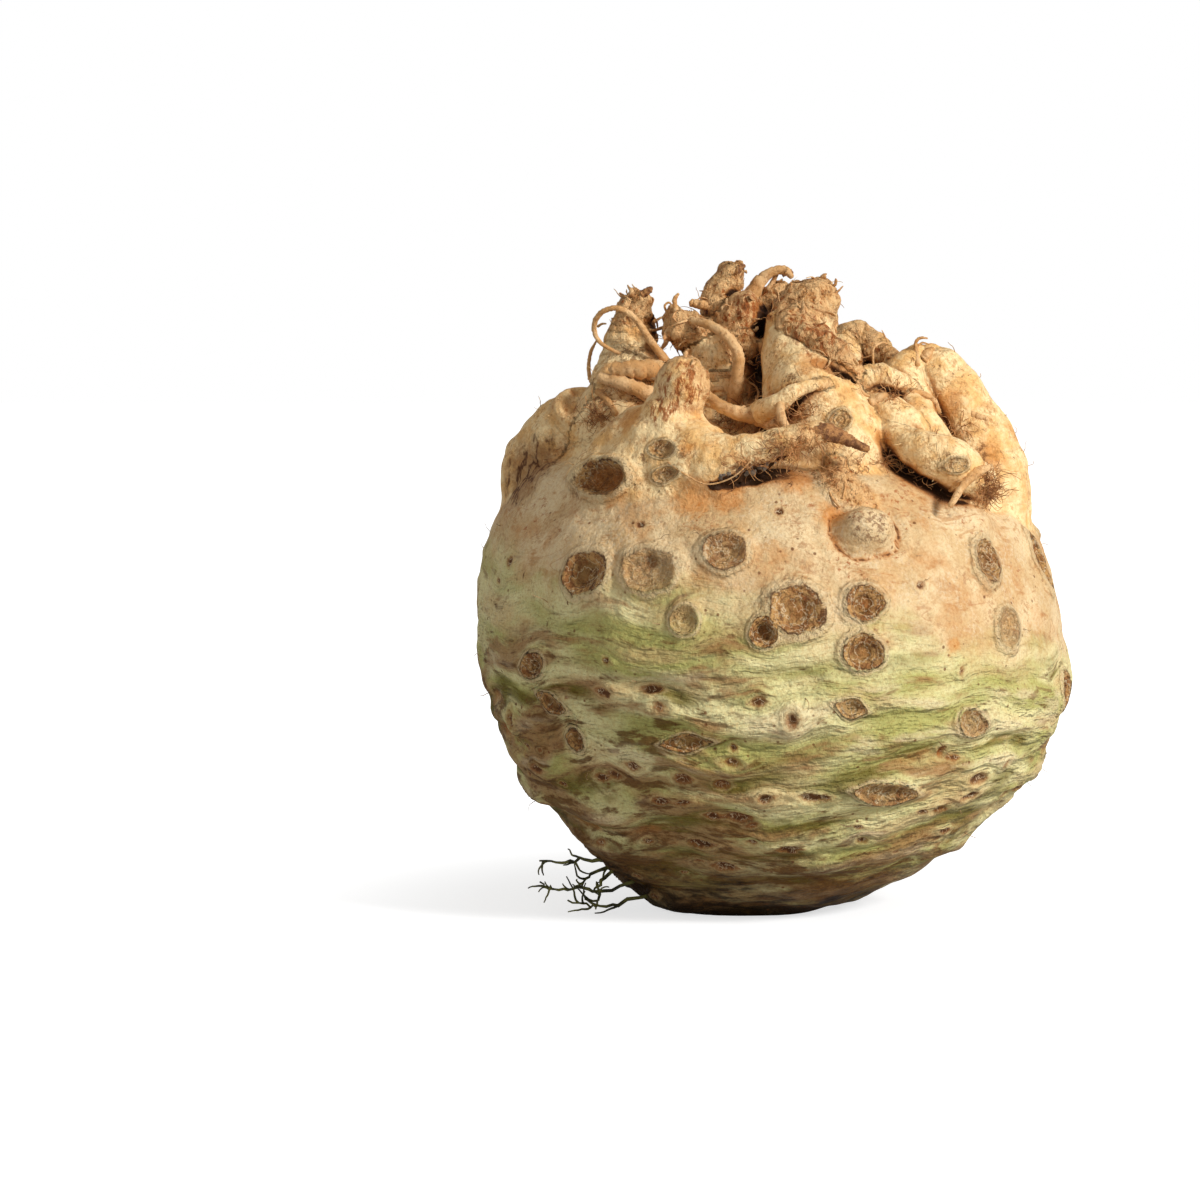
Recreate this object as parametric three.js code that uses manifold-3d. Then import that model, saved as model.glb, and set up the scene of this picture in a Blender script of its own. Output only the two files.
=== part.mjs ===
// A celeriac root stood on its trimmed leaf crown, with its root legs up.
// The bulb, the legs, the cut stubs and the rootlets grew as one piece, so they are one solid.
// Units are millimetres and +Z is up. The origin is on the flat crown that the root rests on,
// under the middle of the bulb. +X is to the right of the front view and -Y is its front.
import * as THREE from "three";
import { mergeVertices } from "three/addons/utils/BufferGeometryUtils.js";
import Module from "manifold-3d";

// Driving dimensions
const BULB_CENTRE_HEIGHT = 59.2;
const BULB_FINENESS = 8;
const PLAIN_EDGE = 10;
const RIDGE_EDGE = 6.2;
const SCAR_EDGE = 3.1;
const REFINING_ROUNDS = 3;
const LUMP_HEIGHT = 0.9;
const RIDGE_HEIGHT = 1.0;
const RIDGE_PITCH = 9.5;
const RIDGES_TOP = 60;
const SCAR_RIM = 1.0;
const SCAR_DEPTH = 1.9;
const LEG_GNARL = 0.09;
const LEG_SIDES = 8;
const LEG_STEP = 7.5;
const THIN_SIDES = 5;
const THIN_STEP = 5;
const SKIN_COLOUR = "#d9c08f";

// The bulb's outline: its radius at each latitude, seen to the right, left, front and back
const LATITUDES = [-90, -70, -55, -40, -25, -10, 5, 20, 35, 50, 70, 90];
const OUTLINE = {
  right: [61.5, 60.5, 60.2, 62.2, 65.0, 65.9, 65.0, 64.0, 62.0, 56.0, 49.0, 46.0],
  left: [61.5, 64.5, 62.2, 61.4, 63.5, 64.6, 65.2, 66.6, 66.0, 60.0, 50.0, 46.0],
  front: [61.5, 62.8, 61.4, 62.0, 64.0, 65.0, 65.0, 64.5, 61.5, 54.5, 48.0, 46.0],
  back: [61.5, 62.8, 61.4, 62.0, 64.0, 65.0, 65.0, 64.5, 62.0, 56.0, 49.0, 46.0],
};

// Scars where side roots were trimmed: azimuth, latitude, half width, half height, tilt in degrees.
// Azimuth 0 is +X and -90 is the front.
const FRONT_SCARS = [
  [-137, 39, 6.3, 3.9, 8],
  [-128, 16, 5.4, 4.9, 20],
  [-114, 17, 6.4, 4.7, 0],
  [-99, 21, 4.9, 4.0, 0],
  [-106, 8, 3.0, 3.0, 0],
  [-85, 10, 5.8, 5.1, 0],
  [-91, 6, 2.8, 3.2, 0],
  [-72.5, 11, 4.4, 3.5, 20],
  [-73, 2, 4.5, 3.8, 0],
  [-41, 18, 3.8, 5.0, -20],
  [-16, 17, 3.2, 6.6, 0],
  [-39, 5, 3.8, 4.2, -20],
  [-75, -8, 3.9, 2.3, -15],
  [-49, -12, 4.0, 2.8, -15],
  [-65, -26, 8.0, 3.1, -5],
  [-106, -15, 5.8, 2.1, 5],
  [-132, -16, 2.4, 2.6, 0],
  [-137, -9, 5.4, 2.1, -20],
  [-141, -2, 4.0, 2.7, 30],
  [-16, -8, 2.8, 4.2, 0],
];
const BACK_SCARS = 16;
const BACK_SCAR_SIZE = [2.6, 5.8];
const SEED = 20931;

// Smooth swellings of the bulb: azimuth, latitude, half width, half height, rise.
// A deep fold rings the first one, a bud that never became a leg.
const SWELLINGS = [
  [-69, 26, 7.0, 5.4, 4.2],
  [-39, 28, 8.0, 6.0, 2.2],
  [-86, -3, 9.0, 3.6, -1.4],
  [-114, -4, 10.0, 2.2, -1.2],
  [-23, 31, 5.0, 5.5, -2.6],
  [150, 24, 8.0, 5.5, 3.0],
  [62, 27, 7.0, 5.0, 3.4],
  [20, 22, 9.0, 6.0, 2.0],
  [100, -6, 11.0, 3.0, -1.4],
];

// Root legs, thick to thin. Each is a list of points on its middle line: x, y, z, radius.
const LEGS = {
  thumb: [[-20, -27, 95, 15], [-19.8, -34, 104, 10.5], [-19.3, -37, 111.5, 6.6], [-18.5, -37, 118, 6.0],
    [-18.3, -36, 121.6, 4.9], [-18.5, -35, 124.2, 2.6]],
  shoulder: [[-33, -23, 84, 12], [-24.5, -35, 98, 11.4], [-15.8, -42, 101.2, 9.5], [-10, -46, 101.5, 6.6]],
  branch: [[-15.8, -42, 101.6, 9], [-9.4, -47, 101.8, 6.3], [-2.1, -50, 104.3, 4.8], [6.3, -50, 107.1, 3.5],
    [12.5, -49, 107.7, 2.7], [16.3, -48, 106, 1.9], [19.3, -46, 103.6, 1]],
  left_cone: [[-32, -12, 91, 14], [-32, -11, 104, 12.4], [-31.4, -10, 114, 8.6], [-30.6, -8, 123.8, 5.9], [-29.7, -8, 130.4, 4.4],
    [-28.6, -8, 134.4, 3.4], [-27, -8, 136.6, 1.8]],
  left_hump: [[-44, 2, 83, 12], [-47.5, 0, 94, 12], [-46.5, -4, 102.5, 9.5], [-42.5, -9, 108.6, 7.2], [-39.8, -13, 112, 4.6]],
  centre_trunk: [[-9, -8, 98, 16], [-9.2, -10, 113, 9], [-9.7, -10, 122.7, 7.2], [-8.6, -8, 130, 6]],
  dark_stub: [[-13, -10, 125, 5], [-19.2, -13, 129, 4], [-22.9, -15, 129.9, 3.3]],
  top_left_stub: [[-9.2, -8, 127, 5.4], [-11, -8, 134.8, 4], [-9.4, -8, 138.9, 2.9], [-7, -8, 142.2, 1.3]],
  top_twig: [[-4.9, -4, 132, 3.4], [-2.9, -4, 138, 2], [0, -4, 140.8, 1.4], [3.3, -4, 141.4, 1.2],
    [4.8, -4, 139.9, 0.8]],
  ring_stub: [[-3.5, -3, 127, 6], [1.1, -2, 134.5, 4.2], [4.4, -3, 136.6, 3.4]],
  crumple: [[-8.5, -11, 125, 5.4], [-5.5, -14, 131.5, 4.8], [-1.7, -15, 134.4, 3.2]],
  cross_stump: [[-15.3, -13, 121, 4.4], [-9.8, -16, 123.4, 4.1], [-4.8, -16, 125.7, 3.5], [-2.6, -16, 127.3, 2.4]],
  arch: [[-15.2, -16, 130.7, 1.7], [-10.4, -20, 129.2, 2.1], [-7.3, -22, 124.9, 2.3], [-6.3, -22, 119.9, 2.1],
    [-6.5, -19, 113, 2.8]],
  main_trunk: [[17.5, -20, 86, 18], [14.6, -27, 100, 13], [10.3, -27, 110.5, 10.7], [6.9, -22, 119, 9],
    [6.1, -18, 124.9, 8.3], [7.2, -15, 130.4, 7.2], [10, -14, 133.8, 5]],
  flap: [[2.2, -18, 130.6, 3.6], [8.6, -25, 126.6, 3.2], [14, -26, 122.5, 2.8], [18, -25, 118.8, 2.3]],
  wrap: [[-2.4, -32, 112.3, 3.3], [1.7, -37, 115.3, 3], [7, -38, 117.8, 2.4], [12.6, -34, 119.5, 1.7]],
  curled_stub: [[31, -15, 114, 2.8], [25.6, -21, 117.1, 3.1], [20.9, -24, 117.8, 3], [19, -25, 114.5, 2.1]],
  sausage_a: [[15, -17, 107, 4.5], [22.6, -25, 110, 5.1], [27.9, -28, 107.9, 4.7], [32, -28, 104, 3.2]],
  sausage_b: [[28.5, -16, 114.5, 2.6], [32, -23, 109.1, 4], [36, -25, 103, 4]],
  sausage_c: [[20.5, -27, 107.7, 2.6], [27.8, -33, 104.2, 3.5], [34, -37, 101.7, 4.6], [39, -36, 99.4, 5.3],
    [43, -28, 95, 6]],
  right_wing: [[38, -4, 77, 15], [44.5, -5, 90, 13.6], [45.2, -6, 100.7, 9.9], [41.2, -7, 110.6, 7.6], [37.4, -8, 118.1, 5.7],
    [35.2, -8, 123, 3]],
  wing_fold: [[35, -12, 90, 8], [33.5, -13.5, 101, 6], [31.7, -13, 110.7, 4.7], [29.6, -11, 118, 4.6], [32.5, -9, 121.6, 3.4]],
  back_knee: [[12, 1, 100, 9], [14, 4, 117, 6.5], [18, 8, 125.6, 4.8], [22, 8, 124.4, 4], [25.8, 6, 121.8, 3.4], [30, -3, 117, 4.4]],
  knob_root: [[20.7, -42, 84, 5], [17.9, -45.5, 91.2, 2.9], [15.1, -45.5, 95.5, 2.4], [13.6, -40, 99.5, 2.2]],
  back_leg: [[-22, 20, 92, 15], [-27, 25, 105, 8.8], [-27, 27, 112, 6.2], [-24, 27, 116, 3.8]],
  back_fork: [[8, 24, 90, 16], [13, 31, 104, 9.4], [19, 35, 111, 6.6], [22.5, 36, 114.5, 4]],
  back_branch: [[10, 28, 95, 8], [15, 34, 103, 7], [24, 43, 105, 4.8], [34, 48, 101, 3.2], [42, 48.5, 95, 1.8]],
  back_wing: [[34, 20, 84, 15], [38, 23, 99, 8.6], [35, 24, 107, 6], [31, 22, 111.5, 3.6]],
  back_hump: [[-42, 16, 86, 13], [-47, 19, 97, 7.6], [-44, 21, 103.5, 4.8]],
  back_stump: [[-5, 13, 98, 13], [-3, 15, 117, 7.4], [-1.5, 15.5, 127, 5.4], [0.5, 15, 131, 3.8]],
  back_ridge: [[-8, 26, 90, 12], [-15, 37, 99, 7.6], [-25, 43, 97, 5], [-35, 43.5, 91, 3.2]],
  back_buttress: [[24, 8, 90, 13], [31, 9, 106, 7.4], [29, 12, 114, 4.6], [26, 13, 118, 3]],
  back_twist: [[-14, 20, 96, 8], [-15.5, 23, 110, 4.4], [-11, 22.5, 118, 3.3], [-5, 24, 119, 2.6]],
  back_root: [[6, 20, 94, 8], [5, 26, 105, 5], [2, 36, 109, 3.2], [-8, 44, 108, 2.4], [-19, 48, 103, 1.8], [-27, 50, 95, 1.3]],
};

// Thin roots and the tuft of green rootlets low on the left. They have fewer sides.
const THIN_ROOTS = {
  curl: [[-20, -12, 118, 1.9], [-26.1, -18, 126, 1.5], [-29.7, -20, 131.1, 1.4], [-32.9, -21, 132.8, 1.25],
    [-36.4, -20, 132, 1.2], [-38.2, -18, 129.2, 1.1], [-37.4, -17, 126, 1], [-34.4, -15.5, 123.8, 0.9],
    [-30, -12, 122.5, 0.7]],
  stub_upper: [[-22, -12, 118.5, 3.2], [-25, -19, 119.4, 2.8], [-29, -21, 119.7, 2.6], [-34.2, -20.5, 119.4, 2]],
  stub_lower: [[-22, -18, 112, 2.8], [-30.3, -21.5, 116, 2.1], [-37, -20, 118, 1.5]],
  hook: [[5, -33, 115.4, 1.2], [2.3, -40.5, 112.4, 1.2], [2.5, -41.5, 109, 1.3], [5, -36, 105, 1.8]],
  cavity_root: [[-13.8, -30, 114.2, 1.4], [-9.4, -33, 111.2, 1.8], [-4.9, -34, 110, 2.1], [3, -30, 108, 3]],
  spike: [[47.2, -35, 98.9, 0.8], [43.5, -38.5, 97.7, 1.5], [40.6, -41, 94.8, 1.1], [38, -44, 91, 0.8]],
  back_curl: [[20, 34, 109, 2.6], [29, 38, 113, 1.7], [36, 36, 110, 1.5], [38, 31, 105, 1.3], [34, 26, 99, 1.5]],
  green_left: [[-32, -12, 11, 1.1], [-41, -13, 11.6, 0.75], [-46, -12, 10.8, 0.65], [-51, -11, 11, 0.5]],
  green_long: [[-27, -13, 8, 1], [-36.5, -17, 5, 0.8], [-42, -18, 6, 0.7], [-47.5, -18, 5.4, 0.6],
    [-50.5, -17, 7, 0.5]],
  green_drop: [[-31, -12, 11, 1], [-37, -16, 7.2, 0.8], [-37.6, -18, 4, 0.65], [-38, -19, 1.4, 0.55]],
  green_fork: [[-31, -10, 12, 1.1], [-39.5, -15, 8.4, 0.8], [-42, -17, 5.8, 0.7]],
  green_low: [[-21, -11, 6, 1.2], [-33.5, -17, 2.2, 0.75], [-39.5, -18, 2, 0.65], [-44, -17, 3, 0.5]],
};

// A seeded random draw from 0 to 1
function randomDraws(seed) {
  let state = seed >>> 0;
  return () => {
    state = (Math.imul(state, 1664525) + 1013904223) >>> 0;
    return state / 4294967296;
  };
}

const radians = THREE.MathUtils.degToRad;
const degrees = THREE.MathUtils.radToDeg;

// The value at x on a smooth line through the points (xs, ys)
function along(x, xs, ys) {
  let i = 0;
  while (i < xs.length - 2 && x > xs[i + 1]) i++;
  const share = THREE.MathUtils.smoothstep(x, xs[i], xs[i + 1]);
  return THREE.MathUtils.lerp(ys[i], ys[i + 1], share);
}

// The trimmed scars of the back, which go on where the front list ends
function backScars() {
  const draw = randomDraws(SEED);
  const [least, most] = BACK_SCAR_SIZE;
  return Array.from({ length: BACK_SCARS }, (_, i) => {
    const azimuth = 0 + (180 * (i + 0.5 + 0.6 * (draw() - 0.5))) / BACK_SCARS;
    const latitude = 24 - 58 * ((i * 0.618034) % 1);
    const size = least + (most - least) * draw();
    return [azimuth, latitude, size, size * (0.45 + 0.45 * draw()), 40 * (draw() - 0.5)];
  });
}

// Where a direction lies from a feature's middle, in shares of the feature's half width and height
function offsetFrom([azimuth, latitude, width, height, tilt = 0], direction) {
  const radius = OUTLINE.front[6];
  const turn = ((direction.azimuth - azimuth + 540) % 360) - 180;
  const across = radius * radians(turn) * Math.cos(radians(latitude));
  const up = radius * radians(direction.latitude - latitude);
  const cos = Math.cos(radians(tilt));
  const sin = Math.sin(radians(tilt));
  return Math.hypot((across * cos + up * sin) / width, (up * cos - across * sin) / height);
}

// Broad uneven swelling of the whole bulb
function lumps({ x, y, z }) {
  const broad = Math.sin(3.1 * x + 2.3 * z + 0.7) + Math.sin(3.7 * y - 1.9 * z + 2.1);
  const small = Math.sin(7.3 * x - 5.1 * y + 4.0 * z) + Math.sin(6.1 * z + 5.7 * y - 4.3 * x + 1.3);
  return LUMP_HEIGHT * (0.6 * broad + 0.3 * small);
}

// Wavy ridges round the lower half, left by the old leaf bases
function ridges({ azimuth, latitude }, height) {
  const turn = radians(azimuth);
  const wander = 1.3 * Math.sin(2 * turn + 0.6) + 0.8 * Math.sin(5 * turn + 0.06 * height);
  const wave = Math.sin((2 * Math.PI * height) / RIDGE_PITCH + wander);
  const band = THREE.MathUtils.smoothstep(height, 0, 8) * (1 - THREE.MathUtils.smoothstep(height, 44, RIDGES_TOP));
  return RIDGE_HEIGHT * band * wave;
}

function scarRelief(scar, direction) {
  const distance = offsetFrom(scar, direction);
  if (distance > 2) return 0;
  const size = Math.min(1, scar[3] / 4);
  const rim = Math.exp(-(((distance - 1) / 0.35) ** 2));
  const pit = 1 - THREE.MathUtils.smoothstep(distance, 0.2, 0.95);
  return size * (SCAR_RIM * rim - SCAR_DEPTH * pit);
}

function swellingRelief(swelling, direction) {
  const distance = offsetFrom(swelling.slice(0, 4), direction);
  return swelling[4] * (1 - THREE.MathUtils.smoothstep(distance, 0.35, 1.2));
}

function directionOf(unit) {
  const latitude = degrees(Math.asin(THREE.MathUtils.clamp(unit.z, -1, 1)));
  return { azimuth: degrees(Math.atan2(unit.y, unit.x)), latitude };
}

// The bulb's radius in a direction from its middle, with all of its relief
function bulbRadius(unit, scars) {
  const direction = directionOf(unit);
  const level = Math.hypot(unit.x, unit.y) || 1;
  const sideways = unit.x / level;
  const forward = -unit.y / level;
  const outline = (side) => along(direction.latitude, LATITUDES, OUTLINE[side]);
  const radius =
    sideways ** 2 * outline(sideways > 0 ? "right" : "left") +
    (1 - sideways ** 2) * outline(forward > 0 ? "front" : "back");
  const height = BULB_CENTRE_HEIGHT + radius * unit.z;
  let relief = lumps(unit) + ridges(direction, height);
  for (const scar of scars) relief += scarRelief(scar, direction);
  for (const swelling of SWELLINGS) relief += swellingRelief(swelling, direction);
  return radius + relief;
}

// The longest edge that still shows the relief at a place on the bulb
function edgeWanted(direction, height, scars) {
  const reach = (scar) => Math.abs(offsetFrom(scar, direction) - 0.8);
  if (scars.some((scar) => reach(scar) < 0.75)) return SCAR_EDGE;
  if (SWELLINGS.some((swelling) => offsetFrom(swelling.slice(0, 4), direction) < 1.3)) return RIDGE_EDGE;
  return height < RIDGES_TOP - 5 ? RIDGE_EDGE : PLAIN_EDGE;
}

// One round of refining: every edge that asks for it is split in the middle.
// mids gives the new corner on an edge, or null, so both triangles on an edge agree.
function refine(corners, triangles, needsSplit) {
  const made = new Map();
  const middle = (a, b) => {
    const key = a < b ? `${a} ${b}` : `${b} ${a}`;
    if (!made.has(key)) {
      const point = corners[a].clone().add(corners[b]).normalize();
      made.set(key, needsSplit(corners[a], corners[b], point) ? corners.push(point) - 1 : null);
    }
    return made.get(key);
  };
  return triangles.flatMap(([a, b, c]) => {
    const mids = [middle(a, b), middle(b, c), middle(c, a)];
    const [ab, bc, ca] = mids;
    const first = mids.findIndex((mid) => mid !== null);
    if (first < 0) return [[a, b, c]];
    if (!mids.includes(null)) return [[a, ab, ca], [ab, b, bc], [ca, bc, c], [ab, bc, ca]];
    const turned = [a, b, c, a, b].slice(first, first + 3);
    const others = [mids[(first + 1) % 3], mids[(first + 2) % 3]];
    const ring = [turned[1], others[0], turned[2], others[1], turned[0]].filter((corner) => corner !== null);
    return ring.slice(1).map((corner, i) => [mids[first], ring[i], corner]);
  });
}

// The bulb: a sphere of triangles, finer where the relief bends, then pushed out to its radius
function bulbGeometry() {
  const scars = [...FRONT_SCARS, ...backScars()];
  const radiusAt = (unit) => bulbRadius(unit, scars);
  const needsSplit = (a, b, middle) => {
    const radius = radiusAt(middle);
    const height = BULB_CENTRE_HEIGHT + radius * middle.z;
    return height > -2 && a.distanceTo(b) * radius > edgeWanted(directionOf(middle), height, scars);
  };

  const start = new THREE.IcosahedronGeometry(1, BULB_FINENESS);
  start.deleteAttribute("normal");
  start.deleteAttribute("uv");
  const sphere = mergeVertices(start, 1e-4);
  const position = sphere.getAttribute("position");
  const corners = Array.from({ length: position.count }, (_, i) =>
    new THREE.Vector3().fromBufferAttribute(position, i).normalize(),
  );
  let triangles = [];
  for (let i = 0; i < sphere.index.count; i += 3) triangles.push([...sphere.index.array.slice(i, i + 3)]);
  for (let round = 0; round < REFINING_ROUNDS; round++) triangles = refine(corners, triangles, needsSplit);

  const points = corners.flatMap((corner) => {
    const point = corner.clone().multiplyScalar(radiusAt(corner));
    return [point.x, point.y, point.z + BULB_CENTRE_HEIGHT];
  });
  const geometry = new THREE.BufferGeometry();
  geometry.setAttribute("position", new THREE.Float32BufferAttribute(points, 3));
  geometry.setIndex(triangles.flat());
  return geometry;
}

// A root: a lathed rod with a round tip, bent along a smooth line through its points.
// Its gnarl makes the section uneven, and differs from root to root by its phase.
function rootGeometry(route, sides, stepLength, phase) {
  const curve = new THREE.CatmullRomCurve3(route.map(([x, y, z]) => new THREE.Vector3(x, y, z)), false, "centripetal");
  const steps = Math.max(route.length - 1, Math.round(curve.getLength() / stepLength));
  const frames = curve.computeFrenetFrames(steps, false);
  const stations = route.map((_, i) => i / (route.length - 1));
  const radii = route.map((point) => point[3]);
  const rings = [];
  for (let i = 0; i <= steps; i++)
    rings.push({ step: i, push: 0, radius: along(curve.getUtoTmapping(i / steps), stations, radii) });
  const tip = radii[radii.length - 1];
  rings.push({ step: steps, push: 0.45 * tip, radius: 0.72 * tip });

  const profile = [new THREE.Vector2(0, 0)];
  rings.forEach((ring, i) => profile.push(new THREE.Vector2(ring.radius, i)));
  profile.push(new THREE.Vector2(0, rings.length));
  rings.push({ step: steps, push: 0.7 * tip, radius: 0 });

  const geometry = new THREE.LatheGeometry(profile, sides);
  const position = geometry.getAttribute("position");
  for (let i = 0; i < position.count; i++) {
    const { step, push } = rings[Math.round(position.getY(i))];
    const turn = Math.atan2(position.getX(i), position.getZ(i));
    const uneven =
      1 + LEG_GNARL * (Math.sin(2 * turn + phase + 0.9 * step) + 0.8 * Math.sin(3 * turn - 1.7 * phase + 1.6 * step));
    const point = curve.getPointAt(step / steps);
    point.addScaledVector(frames.normals[step], uneven * position.getZ(i));
    point.addScaledVector(frames.binormals[step], uneven * position.getX(i));
    point.addScaledVector(frames.tangents[step], push);
    position.setXYZ(i, point.x, point.y, point.z);
  }
  return geometry;
}

const wasm = await Module();
wasm.setup();

// The closed solid inside a geometry's surface
function solidOf(geometry) {
  const bare = geometry.clone();
  bare.deleteAttribute("normal");
  bare.deleteAttribute("uv");
  const merged = mergeVertices(bare, 1e-4);
  const corners = merged.index.array;
  const whole = [];
  for (let i = 0; i < corners.length; i += 3) {
    const [a, b, c] = [corners[i], corners[i + 1], corners[i + 2]];
    if (a !== b && b !== c && c !== a) whole.push(a, b, c);
  }
  return new wasm.Manifold(
    new wasm.Mesh({
      numProp: 3,
      vertProperties: merged.getAttribute("position").array,
      triVerts: new Uint32Array(whole),
    }),
  );
}

function geometryOf(solid) {
  const mesh = solid.getMesh();
  const geometry = new THREE.BufferGeometry();
  geometry.setAttribute("position", new THREE.BufferAttribute(mesh.vertProperties, 3));
  geometry.setIndex(new THREE.BufferAttribute(mesh.triVerts, 1));
  geometry.computeVertexNormals();
  return geometry;
}

// Everything above the cut that trimmed the leaf crown flat
function aboveCrownCut(solid) {
  const size = 400;
  const space = new THREE.BoxGeometry(size, size, size);
  space.translate(0, 0, size / 2);
  return solid.intersect(solidOf(space));
}

function celeriacSolid() {
  let solid = solidOf(bulbGeometry());
  Object.values(LEGS).forEach((route, i) => {
    solid = solid.add(solidOf(rootGeometry(route, LEG_SIDES, LEG_STEP, i)));
  });
  Object.values(THIN_ROOTS).forEach((route, i) => {
    solid = solid.add(solidOf(rootGeometry(route, THIN_SIDES, THIN_STEP, i)));
  });
  return aboveCrownCut(solid);
}

const celeriac = new THREE.Mesh(
  geometryOf(celeriacSolid()),
  new THREE.MeshStandardMaterial({ color: SKIN_COLOUR, roughness: 0.75, metalness: 0 }),
);
celeriac.name = "celeriac_root";

const root = new THREE.Group();
root.add(celeriac);
export default root;
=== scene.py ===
"""The looks of the celeriac root: one gnarled skin over it all, with its fibres, rootlets and soil."""
import itertools
import math

import bmesh
import bpy
import numpy as np
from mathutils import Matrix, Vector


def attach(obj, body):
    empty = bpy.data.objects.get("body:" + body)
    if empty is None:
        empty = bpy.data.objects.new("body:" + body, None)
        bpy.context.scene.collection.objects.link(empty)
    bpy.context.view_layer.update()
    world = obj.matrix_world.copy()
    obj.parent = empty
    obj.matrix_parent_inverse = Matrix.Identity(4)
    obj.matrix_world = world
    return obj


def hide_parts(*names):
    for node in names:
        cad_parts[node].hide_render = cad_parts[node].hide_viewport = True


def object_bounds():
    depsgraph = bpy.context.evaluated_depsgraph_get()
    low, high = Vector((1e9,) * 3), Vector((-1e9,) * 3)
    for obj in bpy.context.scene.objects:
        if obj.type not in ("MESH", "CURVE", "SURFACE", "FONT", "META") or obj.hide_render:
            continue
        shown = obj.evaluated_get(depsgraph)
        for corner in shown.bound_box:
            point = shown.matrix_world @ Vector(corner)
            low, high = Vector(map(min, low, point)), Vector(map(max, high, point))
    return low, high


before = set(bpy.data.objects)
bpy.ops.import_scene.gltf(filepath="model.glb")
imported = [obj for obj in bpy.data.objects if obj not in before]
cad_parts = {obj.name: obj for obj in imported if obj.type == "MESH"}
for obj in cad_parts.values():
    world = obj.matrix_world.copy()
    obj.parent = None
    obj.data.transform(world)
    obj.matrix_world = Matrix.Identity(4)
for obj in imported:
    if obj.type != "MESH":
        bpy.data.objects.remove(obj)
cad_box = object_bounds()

import openvdb
from mathutils import Vector

MM = 0.001
SEED = 20931

# The bulb, in millimetres, by the solid's values except for its higher folds
BULB_CENTRE = np.array([0.0, 0.0, 59.2])
LUMP_HEIGHT = 0.9
FOLD_HEIGHT = 1.6
RIDGE_PITCH = 9.5
RIDGES_TOP = 60.0
SCAR_RIM = 1.0
SCAR_DEPTH = 1.9
LATITUDES = [-90, -70, -55, -40, -25, -10, 5, 20, 35, 50, 70, 90]
OUTLINE = {
    "right": [61.5, 60.5, 60.2, 62.2, 65.0, 65.9, 65.0, 64.0, 62.0, 56.0, 49.0, 46.0],
    "left": [61.5, 64.5, 62.2, 61.4, 63.5, 64.6, 65.2, 66.6, 66.0, 60.0, 50.0, 46.0],
    "front": [61.5, 62.8, 61.4, 62.0, 64.0, 65.0, 65.0, 64.5, 61.5, 54.5, 48.0, 46.0],
    "back": [61.5, 62.8, 61.4, 62.0, 64.0, 65.0, 65.0, 64.5, 62.0, 56.0, 49.0, 46.0],
}

# Smooth swellings: azimuth, latitude, half width, half height, rise
SWELLINGS = [
    (-69, 26, 7.0, 5.4, 4.2), (-39, 28, 8.0, 6.0, 2.2), (-86, -3, 9.0, 3.6, -1.4),
    (-114, -4, 10.0, 2.2, -1.2), (-23, 31, 5.0, 5.5, -2.6), (150, 24, 8.0, 5.5, 3.0),
    (62, 27, 7.0, 5.0, 3.4), (20, 22, 9.0, 6.0, 2.0), (100, -6, 11.0, 3.0, -1.4),
]

# Trimmed scars of the solid: azimuth, latitude, half width, half height, tilt,
# tone from 0, pale and grown over, through 0.5, rusty, to 1, a dark pit
SCARS = [
    (-137, 39, 6.3, 3.9, 8, 0.95), (-128, 16, 5.4, 4.9, 20, 0.85), (-114, 17, 6.4, 4.7, 0, 0.35),
    (-99, 21, 4.9, 4.0, 0, 0.6), (-106, 8, 3.0, 3.0, 0, 0.3), (-85, 10, 5.8, 5.1, 0, 0.8),
    (-91, 6, 2.8, 3.2, 0, 0.95), (-72.5, 11, 4.4, 3.5, 20, 0.95), (-73, 2, 4.5, 3.8, 0, 0.85),
    (-41, 18, 3.8, 5.0, -20, 0.7), (-16, 17, 3.2, 6.6, 0, 1.0), (-39, 5, 3.8, 4.2, -20, 0.25),
    (-75, -8, 3.9, 2.3, -15, 0.65), (-49, -12, 4.0, 2.8, -15, 0.6), (-65, -26, 8.0, 3.1, -5, 0.7),
    (-106, -15, 5.8, 2.1, 5, 0.75), (-132, -16, 2.4, 2.6, 0, 0.85), (-137, -9, 5.4, 2.1, -20, 0.85),
    (-141, -2, 4.0, 2.7, 30, 0.85), (-16, -8, 2.8, 4.2, 0, 0.8),
]
BACK_SCARS = 16
BACK_SCAR_SIZE = (2.6, 5.8)

# Round knobs that sit in a crease of the skin: azimuth, latitude, half width, half height, tilt
KNOBS = [(-69.4, 25.6, 7.6, 5.8, 10), (150, 24, 6.6, 4.8, 0), (62, 27, 6.0, 4.6, 0)]

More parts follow.
